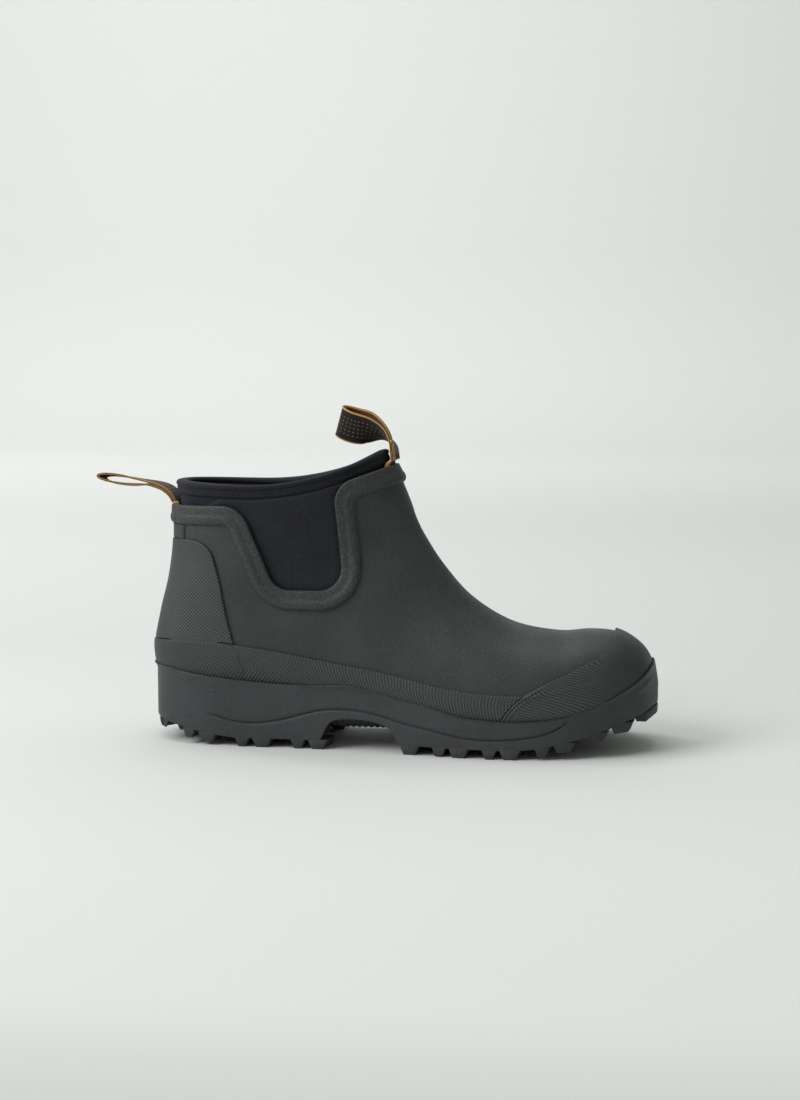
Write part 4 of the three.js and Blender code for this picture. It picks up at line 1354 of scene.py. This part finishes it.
@dataclass
class SoleUnit:
    """The outsole: wall with its wavy groove, underside with lugs, arch and ribbed waist.

    lip, pocket, floor: heights above the last of the rim, of the pocket the upper sits in and of
    its floor; lug_lines: ends of a lug's middle line, from the lug's place, and its share of the
    foot's length; widest: lengths, and the height at which the wall is widest at each;
    groove_profile: height across the groove and share of its depth.
    """

    paint: Paint
    columns: int = 420
    lug_depth: float = 5.2
    flank: float = 2.4
    pair_step: float = 12.0
    pairs: tuple[float, ...] = (-73.0, -39.5, -5.5, 28.5, 85.5, 115.5, 145.5, 175.5, 205.5, 235.5)
    groove_depth: float = 1.0
    lip: float = 3.2
    pocket: float = 2.25
    floor: float = 0.35
    waist_span: tuple[float, float] = (46.5, 94.0)
    lug_lines: tuple[tuple[tuple[float, float], tuple[float, float], float], ...] = (
        ((0.0, 62.0), (7.0, 21.0), 1.0), ((-13.5, 17.0), (-6.5, -0.5), 0.8))
    widest: tuple[tuple[float, ...], tuple[float, ...]] = (
        (-70, 40, 110, 160, 215, 250), (44, 36, 32, 27, 31, 38))
    groove_profile: tuple[tuple[float, float], ...] = (
        (-1.3, 0.0), (-0.85, 0.25), (-0.5, 0.75), (-0.2, 1.0), (0.15, 1.0), (0.45, 0.7),
        (0.8, 0.2), (1.25, 0.0))
    arch: tuple[tuple[float, float], ...] = (
        (46.5, 5.2), (50.0, 13.0), (53.5, 16.8), (59.0, 18.4), (69.0, 18.8), (78.0, 18.0),
        (86.5, 15.4), (90.5, 11.5), (94.0, 5.2))
    groove: tuple[tuple[float, float], ...] = (
        (-80, 19.6), (-40, 20.0), (-23.4, 19.1), (-6.4, 15.2), (7.8, 14.5), (23, 16.9), (38, 21.1),
        (47.7, 23.4), (57.9, 24.2), (68, 23.9), (82.8, 21.7), (95.5, 18.3), (109, 15.8),
        (130, 11.9), (146.5, 10.8), (163, 11.9), (177, 14.3), (185, 17.2), (189.4, 19.7),
        (192.7, 22.2), (200, 24.5), (215, 29.0), (250, 42.0))

    def __post_init__(self) -> None:
        """Draws the outline and the lines on the wall."""
        self.outline = Outline()
        self.arch_line = SideLine.through(self.arch)
        self.groove_line = SideLine.through(self.groove, 600)

    def base(self, x: Points) -> Points:
        """Height of the underside between the lugs."""
        flat = ground_height(x) + self.lug_depth
        in_arch = (x > self.waist_span[0]) & (x < self.waist_span[1])
        return np.maximum(flat, np.where(in_arch, self.arch_line.height(x), 0))

    def inner_rows(self, x: Points) -> tuple[list[Points], list[Points]]:
        """Rows on the last that the wall meets, on the same columns as the outline.

        Args:
            x: Lengths of the outline's columns.

        Returns:
            The rim row on both sides, and the rows of the pocket the upper sits in.
        """
        def charts(shift: float, grow: float) -> list[tuple[Points, Points]]:
            """Stations and turns of a row beside the rim, on each side."""
            row = Row(SOLE_RIM, shift, grow)
            ends = SOLE_RIM.place(np.array([row.first, row.last]))[:, 0]
            share_x = (x - x[0]) / (x[-1] - x[0])
            along = np.interp(ends[0] + (ends[1] - ends[0]) * share_x, SOLE_RIM.points[:, 0],
                              SOLE_RIM.walked)
            share = np.clip((along - row.first) / (row.last - row.first), 0, 1)
            return [row.chart(np.arccos(1 - 2 * share) / math.pi, side)[:2]
                    for side in (Side.LATERAL, Side.MEDIAL)]

        rim = [LAST.point(t, turn, self.lip) for t, turn in charts(0.0, self.lip)]
        pocket = [[LAST.point(t, turn, self.pocket) for t, turn in charts(shift, self.pocket)]
                  for shift in (0.0, -5.0)]
        deep = charts(-5.2, self.floor)
        for share in np.linspace(0, 1, 16):
            level = []
            for t, turn in deep:
                signed = np.where(turn > 0.5, turn - 1, turn)
                level.append(LAST.point(t, signed * (1 - share), self.floor))
            pocket.append(level)
        return rim, pocket

    def half_wall(self, x: Points, side: Side, rim: Points, pocket: list[Points]) -> Points:
        """Rows of one side of the body, from the middle of its underside up to the pocket.

        Args:
            x: Lengths of the columns.
            side: Which side.
            rim: The row that the wall's top meets.
            pocket: Rows of the pocket inside the rim.

        Returns:
            Points as rows, columns, xyz.
        """
        edge = np.stack([x, self.outline.edge(x, side)], 1)
        run = np.gradient(edge, axis=0)
        run /= np.linalg.norm(run, axis=1, keepdims=True)
        out = np.stack([run[:, 1], -run[:, 0]], 1) * -side.value
        out[0], out[-1] = (-1, 0), (1, 0)

        def ledge(plan: Points, height: Points) -> Points:
            """A row from its plan and its heights."""
            return np.concatenate([plan, height[:, None]], 1)

        def inward(inset: Points | float) -> Points:
            """The edge's plan, moved inwards."""
            return edge - out * np.broadcast_to(inset, x.shape)[:, None]

        base = self.base(x)
        rim_z, widest = SOLE_RIM.height(x), np.interp(x, *self.widest)
        lean = smoothstep(rim_z - widest, 0.0, 3.5)
        plan_top = edge + (rim[:, :2] - edge) * lean[:, None]
        top_z = rim_z + (rim[:, 2] - rim_z) * smoothstep(lean, 0.5, 1)
        foot_z = np.minimum(widest, top_z - 1.4)
        spine = np.stack([x, self.outline.spine(x)], 1)
        rows = [ledge(spine + (edge - spine) * share, base)
                for share in (0.0, 0.25, 0.5, 0.75, 0.9, 0.97)]
        rows += [ledge(inward(inset), base + rise)
                 for inset, rise in ((0.35, 0.0), (0.12, 0.1), (0.0, 0.35))]
        low = base + 1.2
        seam = np.clip(self.groove_line.height(x), low + 2.2, foot_z - 2.4)
        rows += [ledge(edge, low + (seam - 1.9 - low) * share) for share in np.linspace(0, 1, 7)]
        cut = self.groove_depth * smoothstep(x, -25, -17) * smoothstep(x, 194, 191)
        rows += [ledge(inward(cut * depth), seam + rise) for rise, depth in self.groove_profile]
        over = seam + self.groove_profile[-1][0]
        rows += [ledge(edge, over + (foot_z - over) * share) for share in np.linspace(0, 1, 7)[1:]]
        rows += [ledge(edge + (plan_top - edge) * share**1.35, foot_z + (top_z - foot_z) * share)
                 for share in (0.15, 0.3, 0.45, 0.6, 0.72, 0.82, 0.9)]
        rows += [ledge(plan_top - out * inset, top_z - drop)
                 for inset, drop in ((0.0, 0.5), (0.12, 0.2), (0.4, 0.0))]
        return np.array(rows + pocket)

    def wall(self) -> Mesh:
        """The body of the outsole, closed under the foot and around it."""
        half = self.outline.lateral
        walked = walk(half)
        even = np.linspace(0, walked[-1], self.columns)
        x = np.interp(even, walked, np.maximum.accumulate(half[:, 0]))
        x[0], x[-1] = self.outline.heel, self.outline.toe
        rim, pocket = self.inner_rows(x)
        lateral, medial = (self.half_wall(x, side, rim[n], [level[n] for level in pocket])
                           for n, side in enumerate((Side.LATERAL, Side.MEDIAL)))
        points = np.concatenate([lateral[:, ::-1], medial[:, 1:]], 1)
        run = np.broadcast_to(walk(points[12])[None], points.shape[:2])
        return weld(grid("outsole_body", points, np.stack([run, points[..., 2]], -1)), 0.02)

    def block(self, corners: Points) -> Mesh:
        """A tapered block from its eight corners: four of the foot, then four of the base."""
        clear_selection()
        bpy.ops.mesh.primitive_cube_add(size=1)
        piece = bpy.context.object
        order = [(0, 0, 0), (0, 0, 1), (0, 1, 0), (0, 1, 1), (1, 0, 0), (1, 0, 1), (1, 1, 0),
                 (1, 1, 1)]
        table = np.array([corners[z][x][y] for x, y, z in order])
        piece.data.vertices.foreach_set("co", (table * MM).ravel())
        return edit(piece, lambda: bpy.ops.mesh.normals_make_consistent(inside=False))

    def lug(self, outer: tuple[float, float], inner: tuple[float, float], foot: float) -> Mesh:
        """One lug: a tapered block that stands on the ground.

        Args:
            outer: Outer end of its middle line.
            inner: Inner end of its middle line.
            foot: Length of its foot along the boot.

        Returns:
            The lug.
        """
        corners = []
        for half, rise in ((foot / 2, 0.0), (foot / 2 + self.flank, self.lug_depth + 0.5)):
            level = []
            for spread in (-half, half):
                level.append([(x + spread, y, float(ground_height(np.array(x))) + rise)
                              for x, y in (outer, inner)])
            corners.append(level)
        return self.block(np.array(corners))

    def prism(self) -> Mesh:
        """Upright prism over the sole's outline, a hair wider, that lugs are cut to."""
        wall = self.outline.loop[::4]
        centre = wall.mean(0)
        wider = centre + (wall - centre) * 1.0006
        rings = np.array([np.concatenate([wider, np.full((len(wider), 1), z)], 1)
                          for z in (-6.0, 60.0)])
        return close_ends(weld(grid("cutter", np.concatenate([rings, rings[:, :1]], 1))))

    def lug_places(self) -> list[tuple[tuple[float, float], tuple[float, float], float]]:
        """Ends of every lug's middle line and length of its foot, clear of the waist."""
        first, last = self.waist_span
        places = []
        for start in self.pairs:
            for x, foot in ((start, 4.0), (start + self.pair_step, 7.0)):
                if first < x + 4 < last - 0.5:
                    continue
                for side in (-1, 1):
                    for outer, inner, share in self.lug_lines:
                        out, into = [(x + along, side * y) for along, y in (outer, inner)]
                        if first + 0.5 < out[0] < last - 1 and abs(out[1]) < 20:
                            continue
                        places.append((out, into, foot * share))
        return places

    def lugs(self) -> Mesh:
        """All lugs, cut to the outline of the sole."""
        prism = self.prism()
        made = []
        for outer, inner, foot in self.lug_places():
            piece = self.lug(outer, inner, foot)
            modify(piece, "BOOLEAN", operation="INTERSECT", object=prism, solver="EXACT")
            if len(piece.data.polygons) < 4:
                bpy.data.objects.remove(piece)
                continue
            modify(piece, "BEVEL", width=0.45 * MM, segments=2, limit_method="ANGLE",
                   angle_limit=math.radians(35))
            made.append(piece)
        bpy.data.objects.remove(prism)
        return joined("lugs", made)

    def waist(self) -> Mesh:
        """The ribbed bridge under the waist."""
        x = np.arange(43.5, 96.5, 0.3)
        ribs = 0.7 * (0.5 + 0.5 * np.cos(2 * math.pi * x / 3.6)) ** 0.6
        angle = np.linspace(0, 2 * math.pi, 57)[:-1]
        rings = np.array([np.stack([x, -2 + (27 - ribs) * math.sin(a),
                                    19 - (11 - ribs) * math.cos(a)], 1) for a in angle])
        return sweep("waist", rings, closed=False)

    def build(self) -> list[Mesh]:
        """Builds the outsole body and its tread."""
        body = smooth(self.wall(), 35)
        self.paint.dress(body, SOLE_RUBBER)
        ride(body, Body.BOOT, "sole_rubber", "outsole")
        lugs = smooth(joined("outsole_tread", [self.lugs(), self.waist()]), 35)
        self.paint.dress(lugs, TREAD_RUBBER)
        ride(lugs, Body.BOOT, "sole_rubber")
        return [body, lugs]


# ---------------------------------------------------------------- the soft bootie
def rim_station(turn: Points, drop: float) -> Points:
    """Station number at which the last reaches the height of the rim less drop."""
    low, high = np.full_like(turn, 9.0), np.full_like(turn, float(LAST.end))
    for _ in range(24):
        middle = (low + high) / 2
        p = LAST.point(middle, turn, 0.0)
        over = p[:, 2] > rim_height(p[:, 0]) - drop
        low, high = np.where(over, low, middle), np.where(over, middle, high)
    return (low + high) / 2


def stitch(name: str, centres: Points, ways: Points, outs: Points, length: float,
           width: float) -> Mesh:
    """A run of stitches: one is modelled, and the rest are copies of it.

    Args:
        name: Name of the run.
        centres: Middle of each stitch in millimetres.
        ways: Direction of each stitch.
        outs: Direction away from the cloth at each stitch.
        length: Length of a stitch.
        width: Thickness of the thread.

    Returns:
        The joined run.
    """
    clear_selection()
    bpy.ops.mesh.primitive_uv_sphere_add(segments=6, ring_count=5, radius=0.5)
    first = bpy.context.object
    base = coordinates(first) * MM
    made = [first]
    for _ in range(len(centres) - 1):
        clear_selection()
        first.select_set(True)
        bpy.context.view_layer.objects.active = first
        bpy.ops.object.duplicate(linked=False)
        made.append(bpy.context.object)
    for piece, centre, way, out in zip(made, centres, ways, outs):
        way = way / np.linalg.norm(way)
        across = np.cross(way, out)
        across /= np.linalg.norm(across)
        up = np.cross(across, way)
        arch = base[:, 2:] * length * way + base[:, :1] * width * across
        table = centre + arch + (base[:, 1:2] - base[:, 2:] ** 2 * 0.9) * width * up
        piece.data.vertices.foreach_set("co", (table * MM).ravel())
    return smooth(joined(name, made), 60)


@dataclass
class Bootie:
    """The neoprene bootie: lining, side gussets and the bound collar."""

    paint: Paint
    turns: int = 260
    stitches: int = 118
    gusset_span: tuple[float, float] = (-12.0, 74.0)
    binding: tuple[tuple[float, float], ...] = (
        (-3.7, 7.55), (-3.0, 7.6), (-2.6, 7.45), (-2.45, 7.0), (-2.45, 6.2), (-2.62, 5.75),
        (-2.75, 5.45), (-2.62, 5.15), (-2.45, 4.8), (-2.42, 4.2), (-2.6, 3.8), (-3.0, 3.5),
        (-2.6, 3.2), (-2.2, 2.6), (-2.05, 1.9), (-2.25, 1.1), (-2.9, 0.4), (-3.9, 0.08), (-5.4, 0.0),
        (-6.9, 0.08), (-8.0, 0.4), (-8.7, 1.1), (-8.95, 1.9), (-8.8, 2.6), (-8.4, 3.2),
        (-8.0, 3.5), (-8.4, 3.8), (-8.55, 4.4), (-8.55, 7.0), (-8.3, 7.5), (-7.5, 7.55),
        (-7.3, 7.2), (-7.25, 1.8), (-3.75, 1.8), (-3.7, 7.2))

    def liner(self) -> Mesh:
        """The lining, from the toe to the edge of the collar."""
        turns = np.linspace(0, 1, self.turns)
        last = rim_station(turns, 1.7)
        points = ring_lattice(turns, np.full_like(turns, 0.4), last, 130, -LAYERS.liner_out)
        middle = points[:1].mean(1, keepdims=True) + np.zeros_like(points[:1])
        side = np.sign(np.sin(2 * math.pi * turns))[:, None] * np.abs(turns - 0.5)[:, None] * 200
        along = np.cumsum(np.linalg.norm(np.diff(points, axis=0, prepend=points[:1]), axis=-1), 0)
        uv = np.stack([np.broadcast_to(side.T, points.shape[:2]), along], -1)
        uv = np.concatenate([uv[:1], uv])
        piece = weld(grid("liner", np.concatenate([middle, points]), uv), 0.01)
        face_outwards(piece)
        modify(piece, "SOLIDIFY", thickness=LAYERS.neoprene * MM, offset=-1.0)
        return ride(self.paint.dress(smooth(piece), NEOPRENE), Body.BOOT, "neoprene", "liner")

    def gusset(self, side: Side) -> Mesh:
        """One side gusset, tucked behind the upper and under the collar binding."""
        name = f"gusset_{side.name.lower()}"
        back, front = self.gusset_span
        start = np.interp(back, BAND_LINE.points[:40, 0], BAND_LINE.walked[:40])
        stop = np.interp(front, BAND_LINE.points[-60:, 0], BAND_LINE.walked[-60:])
        share = np.linspace(0, 1, 150)
        lower = BAND_LINE.place(start + (stop - start) * share, 0.3)
        x_top = back + (front - back) * share
        upper = np.stack([x_top, rim_height(x_top) - 6.6], 1)
        to_end = smoothstep(np.minimum(share, 1 - share), 0.0, 0.07)
        outer, inner = [], []
        for level in 1 - (1 - np.linspace(0, 1, 60)) ** 1.3:
            xz = lower + (upper - lower) * level
            t, along, _ = LAST.find(xz, -2.0)
            turn = LAST.turn_at(t, along, side)
            under = smoothstep(xz[:, 1] - rim_height(xz[:, 0]), -10.2, -8.2)
            under = np.maximum(under, 1 - to_end)
            puff = 0.5 * smoothstep(BAND_LINE.distance(xz), 2.6, 9.0) * (1 - under)
            outer.append(LAST.point(t, turn, -2.15 + puff - 1.35 * under))
            inner.append(LAST.point(t, turn, -3.75))
        piece = smooth(sweep(name, np.array(outer + inner[::-1]), closed=False), 60)
        lay_map(piece, coordinates(piece)[:, [0, 2]])
        return ride(self.paint.dress(piece, NEOPRENE), Body.BOOT, "neoprene", name)

    def collar(self) -> list[Mesh]:
        """The folded binding round the collar, and its stitches."""
        turns = np.linspace(0, 1, self.turns + 1)[:-1]
        rings = []
        for grow, drop in self.binding:
            wave = 0.10 * np.sin(turns * 2 * math.pi * 23) * (1.0 if drop > 4 else 0.4)
            rings.append(LAST.point(rim_station(turns, drop), turns, grow + wave))
        piece = smooth(sweep("collar_binding", np.array(rings), closed=True), 60)
        self.paint.dress(piece, BINDING)
        ride(piece, Body.BOOT, "binding_fabric", "collar_binding")
        places = (np.arange(self.stitches) + 0.5) / self.stitches
        laid = [LAST.point(rim_station(places + shift, 5.45), places + shift, grow)
                for shift, grow in ((0.0, -2.62), (0.001, -2.62), (0.0, -1.6))]
        thread = stitch("binding_stitches", laid[0], laid[1] - laid[0], laid[2] - laid[0], 2.3, 0.75)
        self.paint.dress(thread, THREAD)
        ride(thread, Body.BOOT, "thread")
        return [piece, thread]

    def build(self) -> list[Mesh]:
        """Builds the lining, the gussets and the collar."""
        return [self.liner(), self.gusset(Side.LATERAL), self.gusset(Side.MEDIAL), *self.collar()]


# ---------------------------------------------------------------- the footbed
@dataclass
class Footbed:
    """The removable footbed: a foam body and a fabric cover."""

    paint: Paint
    shrink: float = -8.6
    rows: int = 110
    across: int = 30
    rounding: float = 0.5
    dish: float = 0.48

    def layer(self, name: str, low: float, high: float) -> Mesh:
        """One layer of the footbed, dished on top.

        Args:
            name: Name of the piece.
            low: Height of its underside over the sole line of the last.
            high: Height of its upper edge.

        Returns:
            The layer.
        """
        line = LAST.rows(np.linspace(1.0, 10.3, 200))[0][::-1, 2:4]
        trial = np.linspace(-49.0, 229.0, 900)
        over = np.stack([trial, np.interp(trial, line[:, 0], line[:, 1]) + high], 1)
        back, front = trial[LAST.find(over, self.shrink)[2]][[0, -1]]
        share = (1 - np.cos(math.pi * np.linspace(0, 1, self.rows))) / 2
        x = back + 0.3 + (front - back - 0.6) * share
        z = np.interp(x, line[:, 0], line[:, 1])
        outer, inner = (LAST.lift(np.stack([x, z + high], 1), side, self.shrink)[:, 1]
                        for side in (Side.LATERAL, Side.MEDIAL))
        middle, half = (outer + inner) / 2, (inner - outer) / 2
        loops = []
        for way, height, dish in ((1, low, 0.0), (-1, high, self.dish)):
            for k in range(self.across):
                a = way * math.cos(math.pi * k / (self.across - 1))
                lift = way * self.rounding * abs(a) ** 14 - dish * (1 - a * a)
                loops.append(np.stack([x, middle - half * a, z + height + lift], 1))
        return smooth(sweep(name, np.array(loops), closed=False), 50)

    def build(self) -> list[Mesh]:
        foam = self.layer("footbed_foam_body", 9.2, 13.4)
        self.paint.dress(foam, FOAM)
        ride(foam, Body.FOOTBED, "footbed_foam", "footbed_foam")
        cover = self.layer("footbed_top_cover", 13.6, 14.9)
        self.paint.dress(cover, FOOTBED_CLOTH)
        ride(cover, Body.FOOTBED, "footbed_fabric", "footbed_cover")
        return [foam, cover]


# ---------------------------------------------------------------- pull loops
@dataclass
class PullLoop:
    """A folded webbing loop with the thread bar that holds it.

    line: its middle line from the root to the fold; twist: degrees that the width turns by;
    eye: half the gap between the plies; side: which ply carries the thread bar; sewn: depths
    below the rim between which its ends are sewn in; stand: how far they lean out at the top.
    """

    paint: Paint
    name: str
    body: Body
    line: tuple[tuple[float, float, float], ...]
    twist: float
    eye: float
    side: int
    sewn: tuple[float, float]
    stand: float
    steps: int = 90
    thick: float = 1.2
    tack_stitches: int = 30

    def middle(self) -> tuple[Points, Points]:
        """Samples the middle line by length: points and tangents at even spacing."""
        table = np.array(self.line, float)
        padded = np.vstack([2 * table[0] - table[1], table, 2 * table[-1] - table[-2]])
        count = len(table) - 1
        points = np.concatenate([centripetal(padded[k:k + 4], 60, k == count - 1)
                                 for k in range(count)])
        even = np.linspace(0, 1, 400)
        walked = walk(points) / walk(points)[-1]
        points = np.stack([np.interp(even, walked, points[:, n]) for n in range(3)], 1)
        tangents = np.gradient(points, axis=0)
        return points, tangents / np.linalg.norm(tangents, axis=1, keepdims=True)

    def ribbon(self) -> tuple[Points, Points, Points]:
        """Middle of the webbing, its width direction and its outward direction."""
        points, tangents = self.middle()
        share = np.linspace(-1, 1, 2 * self.steps + 1)
        u = 1 - np.abs(share) ** 1.6
        even = np.linspace(0, 1, len(points))
        spot = np.stack([np.interp(u, even, points[:, n]) for n in range(3)], 1)
        way = np.stack([np.interp(u, even, tangents[:, n]) for n in range(3)], 1)
        way /= np.linalg.norm(way, axis=1, keepdims=True)
        width = []
        for tangent, place in zip(way, u):
            turn = Matrix.Rotation(math.radians(self.twist) * float(smoothstep(place, 0.1, 0.8)), 3,
                                   Vector(tangent))
            across = np.array(turn @ Vector((0, 1, 0)))
            across -= tangent * (across @ tangent)
            width.append(across / np.linalg.norm(across))
        width = np.array(width)
        normal = np.cross(way, width)
        root = self.thick / 2 + 0.25
        bulge = root + (self.eye - root) * smoothstep(u, 0.35, 0.75)
        close = np.sqrt(np.maximum(0, 1 - (np.maximum(0, u - 0.8) / 0.2) ** 2))
        centre = spot - (np.sign(share) * bulge * close)[:, None] * normal
        run = np.gradient(centre, axis=0)
        run /= np.linalg.norm(run, axis=1, keepdims=True)
        out = np.cross(run, width)
        return centre, width, out / np.linalg.norm(out, axis=1, keepdims=True)

    def tape(self) -> Mesh:
        """The webbing, with selvedges that are a little thicker than its ground."""
        centre, width, out = self.ribbon()
        half, flat = TAPE_WIDTH / 2, self.thick / 2
        across = np.array([-1, -0.97, -0.9, -0.86, -0.6, -0.3, 0, 0.3, 0.6, 0.86, 0.9, 0.97, 1])
        level = np.array([0.45, 0.95, 1.0, 0.78, 0.8, 0.8, 0.8, 0.8, 0.8, 0.78, 1.0, 0.95, 0.45])
        rows = [centre + width * a * half + out * b * flat for a, b in zip(across, level)]
        rows += [centre + width * a * half - out * b * flat
                 for a, b in zip(across[::-1], level[::-1])]
        v = np.concatenate([(across + 1) * half, TAPE_WIDTH + (across + 1) * half])
        v[len(across)] += 0.01
        piece = sweep(self.name, np.array(rows), False, v)
        smooth(piece, 60)
        self.paint.dress(piece, LOOP_WEBBING)
        ride(piece, self.body, "webbing", f"{self.body.value.replace('_loop', '')}_pull_loop")
        return piece

    def tack(self) -> Mesh:
        """The dense thread bar across the webbing at its root."""
        root, after = np.array(self.line[0]), np.array(self.line[1])
        run = (after - root) / np.linalg.norm(after - root)
        out = np.cross(run, (0, 1, 0)) * self.side
        count = self.tack_stitches
        centre = root + run * 2.2 + out * (self.thick + 0.25 + 0.12)
        spots = centre + np.linspace(-6.8, 6.8, count)[:, None] * np.array([0, 1, 0])
        lean = np.tile(np.array([[0, 0.25, 0], [0, -0.25, 0]]), (count // 2, 1))
        piece = stitch(f"{self.name}_tack", spots, run + lean, np.tile(out, (count, 1)), 2.1, 0.62)
        self.paint.dress(piece, THREAD)
        return ride(piece, self.body, "thread", f"{self.body.value}_bartack")

    def root(self, low: float, high: float, back: bool) -> Mesh:
        """The ends of the webbing, sewn in between the band and the lining.

        Args:
            low: Depth of the lower end below the rim.
            high: Depth of the upper end below the rim.
            back: True for the loop at the heel.

        Returns:
            The piece, which stays with the boot.
        """
        spread = np.linspace(-1, 1, 25) * (0.052 if back else 0.047)
        turns = spread if back else 0.5 + spread
        drops = np.linspace(low, high, 12)
        faces = 0.2 + self.stand * smoothstep(drops, high + 2.2, high)
        rows = [LAST.point(rim_station(turns, drop), turns, face - 0.4)
                for drop, face in zip(drops, faces)]
        rows += [LAST.point(rim_station(turns, drop), turns, face - 2.7)
                 for drop, face in zip(drops[::-1], faces[::-1])]
        piece = sweep(f"{self.name}_root", np.array(rows), closed=False)
        table = coordinates(piece)
        across = np.clip(table[:, 1] + TAPE_WIDTH / 2, 0, TAPE_WIDTH - 0.01)
        lay_map(piece, np.stack([table[:, 2], across], 1))
        self.paint.dress(smooth(piece, 50), LOOP_WEBBING)
        return ride(piece, Body.BOOT, "webbing")

    def build(self) -> list[Mesh]:
        """Builds the webbing, its sewn-in ends and its thread bar."""
        back = self.body is Body.REAR_LOOP
        return [self.tape(), self.tack(), self.root(*self.sewn, back)]


FRONT_LINE = ((86.3, 0, 169.2), (84.6, 0, 178), (80, -0.5, 184), (71, -1.5, 188),
              (62, -2, 189.5), (53, -2, 192.5))
REAR_LINE = ((-47.3, 0, 143.3), (-49.4, 0, 147), (-54, 0, 150.8), (-62, 0, 153.4),
             (-76, 0, 154.8), (-95, 0, 157.2))


@dataclass
class Studio:
    """Pale floor, soft light and the camera.

    paper_runs: metres of floor, radius of the bend, metres of wall; painted_paper_light: painted
    light and shade on the paper, as axis (1 for Y, 2 for Z), the metres over which it changes, and
    its level.
    """

    target: tuple[float, float, float] = (0.089, 0.0, 0.115)
    distance: float = 1.1
    azimuth: float = 8.0
    elevation: float = 6.4
    lens: float = 60.0
    paper_front: float = -3.0
    paper_half: float = 4.0
    paper_runs: tuple[float, float, float] = (6.0, 1.2, 4.0)
    painted_paper_light: tuple[tuple[int, float, float, float], ...] = (
        (1, -0.57, -0.44, 0.725), (1, -0.32, -0.05, 0.68), (1, 0.0, 0.38, 0.62),
        (1, 1.15, 3.0, 0.89), (2, 0.1, 0.55, 0.84))

    def camera(self) -> None:
        """Places the camera level with the boot, looking slightly down on it."""
        az, el = math.radians(self.azimuth), math.radians(self.elevation)
        back = Vector((math.sin(az) * math.cos(el), -math.cos(az) * math.cos(el), math.sin(el)))
        bpy.ops.object.camera_add(location=Vector(self.target) + back * self.distance)
        camera = bpy.context.object
        camera.rotation_euler = back.to_track_quat("Z", "Y").to_euler()
        camera.data.lens = self.lens
        camera.data.sensor_width = 36.0
        camera.data.sensor_fit = "AUTO"
        camera.data.clip_start = 0.01
        bpy.context.scene.camera = camera

    def paper_profile(self, share: Points) -> Points:
        """Y and Z of the paper sweep in metres, at shares of its length."""
        flat, bend, rise = self.paper_runs
        arc = bend * math.pi / 2
        s = share * (flat + arc + rise)
        turn = np.clip((s - flat) / bend, 0, math.pi / 2)
        y = self.paper_front + np.minimum(s, flat) + bend * np.sin(turn)
        return np.stack([y, bend * (1 - np.cos(turn)) + np.maximum(s - flat - arc, 0)], 1)

    def floor(self) -> None:
        """A sweep of pale paper: a floor that curves up into a backdrop, with bands of painted light
        and shade.
        """
        clear_selection()
        bpy.ops.mesh.primitive_grid_add(x_subdivisions=2, y_subdivisions=60, size=2)
        paper = bpy.context.object
        paper.name = "paper_sweep"
        table = coordinates(paper) * MM
        path = self.paper_profile((table[:, 1] + 1) / 2)
        table = np.concatenate([table[:, :1] * self.paper_half, path], 1)
        paper.data.vertices.foreach_set("co", table.ravel())
        smooth(paper, 60)
        s = Shader("paper", 0.85, 0.2)
        parts = s.add("ShaderNodeSeparateXYZ")
        s.feed(s.coordinates.outputs["Object"], parts, 0)
        colour = (0.60, 0.614, 0.597)
        # Painted light and shade: the paper steps lighter and darker in bands along the floor and up
        # the backdrop.
        for axis, low, high, painted_level in self.painted_paper_light:
            colour = s.mix(s.band(parts.outputs[axis], low, high), colour,
                           (painted_level * 0.992, painted_level * 1.014, painted_level * 0.987))
        paper.data.materials.append(s.finish(colour))

    def lamp(self, name: str, place: tuple[float, float, float], size: float, power: float,
             aim: tuple[float, float, float] = (0.09, 0.0, 0.08)) -> None:
        """Adds a soft square lamp that faces a point."""
        bpy.ops.object.light_add(type="AREA", location=place)
        lamp = bpy.context.object
        lamp.name = name
        lamp.data.size = size
        lamp.data.energy = power
        lamp.rotation_euler = (Vector(place) - Vector(aim)).to_track_quat("Z", "Y").to_euler()

    def build(self) -> None:
        """Sets the whole studio."""
        self.camera()
        self.floor()
        self.lamp("window", (-1.7, -1.0, 1.5), 1.5, 45)
        self.lamp("overhead", (-0.2, 0.3, 2.3), 1.8, 21)
        self.lamp("backdrop", (-1.6, 0.9, 2.4), 1.8, 64, (-0.3, 4.2, 1.3))
        world = bpy.data.worlds.new("room")
        world.use_nodes = True
        world.node_tree.nodes["Background"].inputs["Color"].default_value = (0.88, 0.90, 0.88, 1)
        world.node_tree.nodes["Background"].inputs["Strength"].default_value = 0.34
        bpy.context.scene.world = world
        bpy.context.scene.view_settings.view_transform = "Standard"


INSIDE = {"heel_wedge": SPONGE, "forefoot_filler": SPONGE, "shank": SHANK_STEEL,
          "insole_board": BOARD, "toe_puff": STIFFENER, "heel_stiffener": STIFFENER,
          "liner_seam_tape": BINDING}


def main() -> None:
    """Builds the boot piece by piece around the frame."""
    logging.basicConfig(level=logging.INFO, format="%(name)s %(message)s")
    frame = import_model()
    Studio().build()
    paint = Paint()
    assemblies = (
        SoleUnit(paint), Upper(paint), Bootie(paint), Footbed(paint),
        PullLoop(paint, "front_loop_webbing", Body.FRONT_LOOP, FRONT_LINE, 68.0, 3.6, -1,
                 (13.8, 7.5), 2.1),
        PullLoop(paint, "rear_loop_webbing", Body.REAR_LOOP, REAR_LINE, 8.0, 2.4, 1,
                 (17.4, 13.0), 0.6))
    for assembly in assemblies:
        pieces = assembly.build()
        LOG.info("%s: %d pieces", type(assembly).__name__, len(pieces))
    for name, finish in INSIDE.items():
        paint.dress(frame["nodes"][name], finish)


if __name__ == "__main__":
    main()
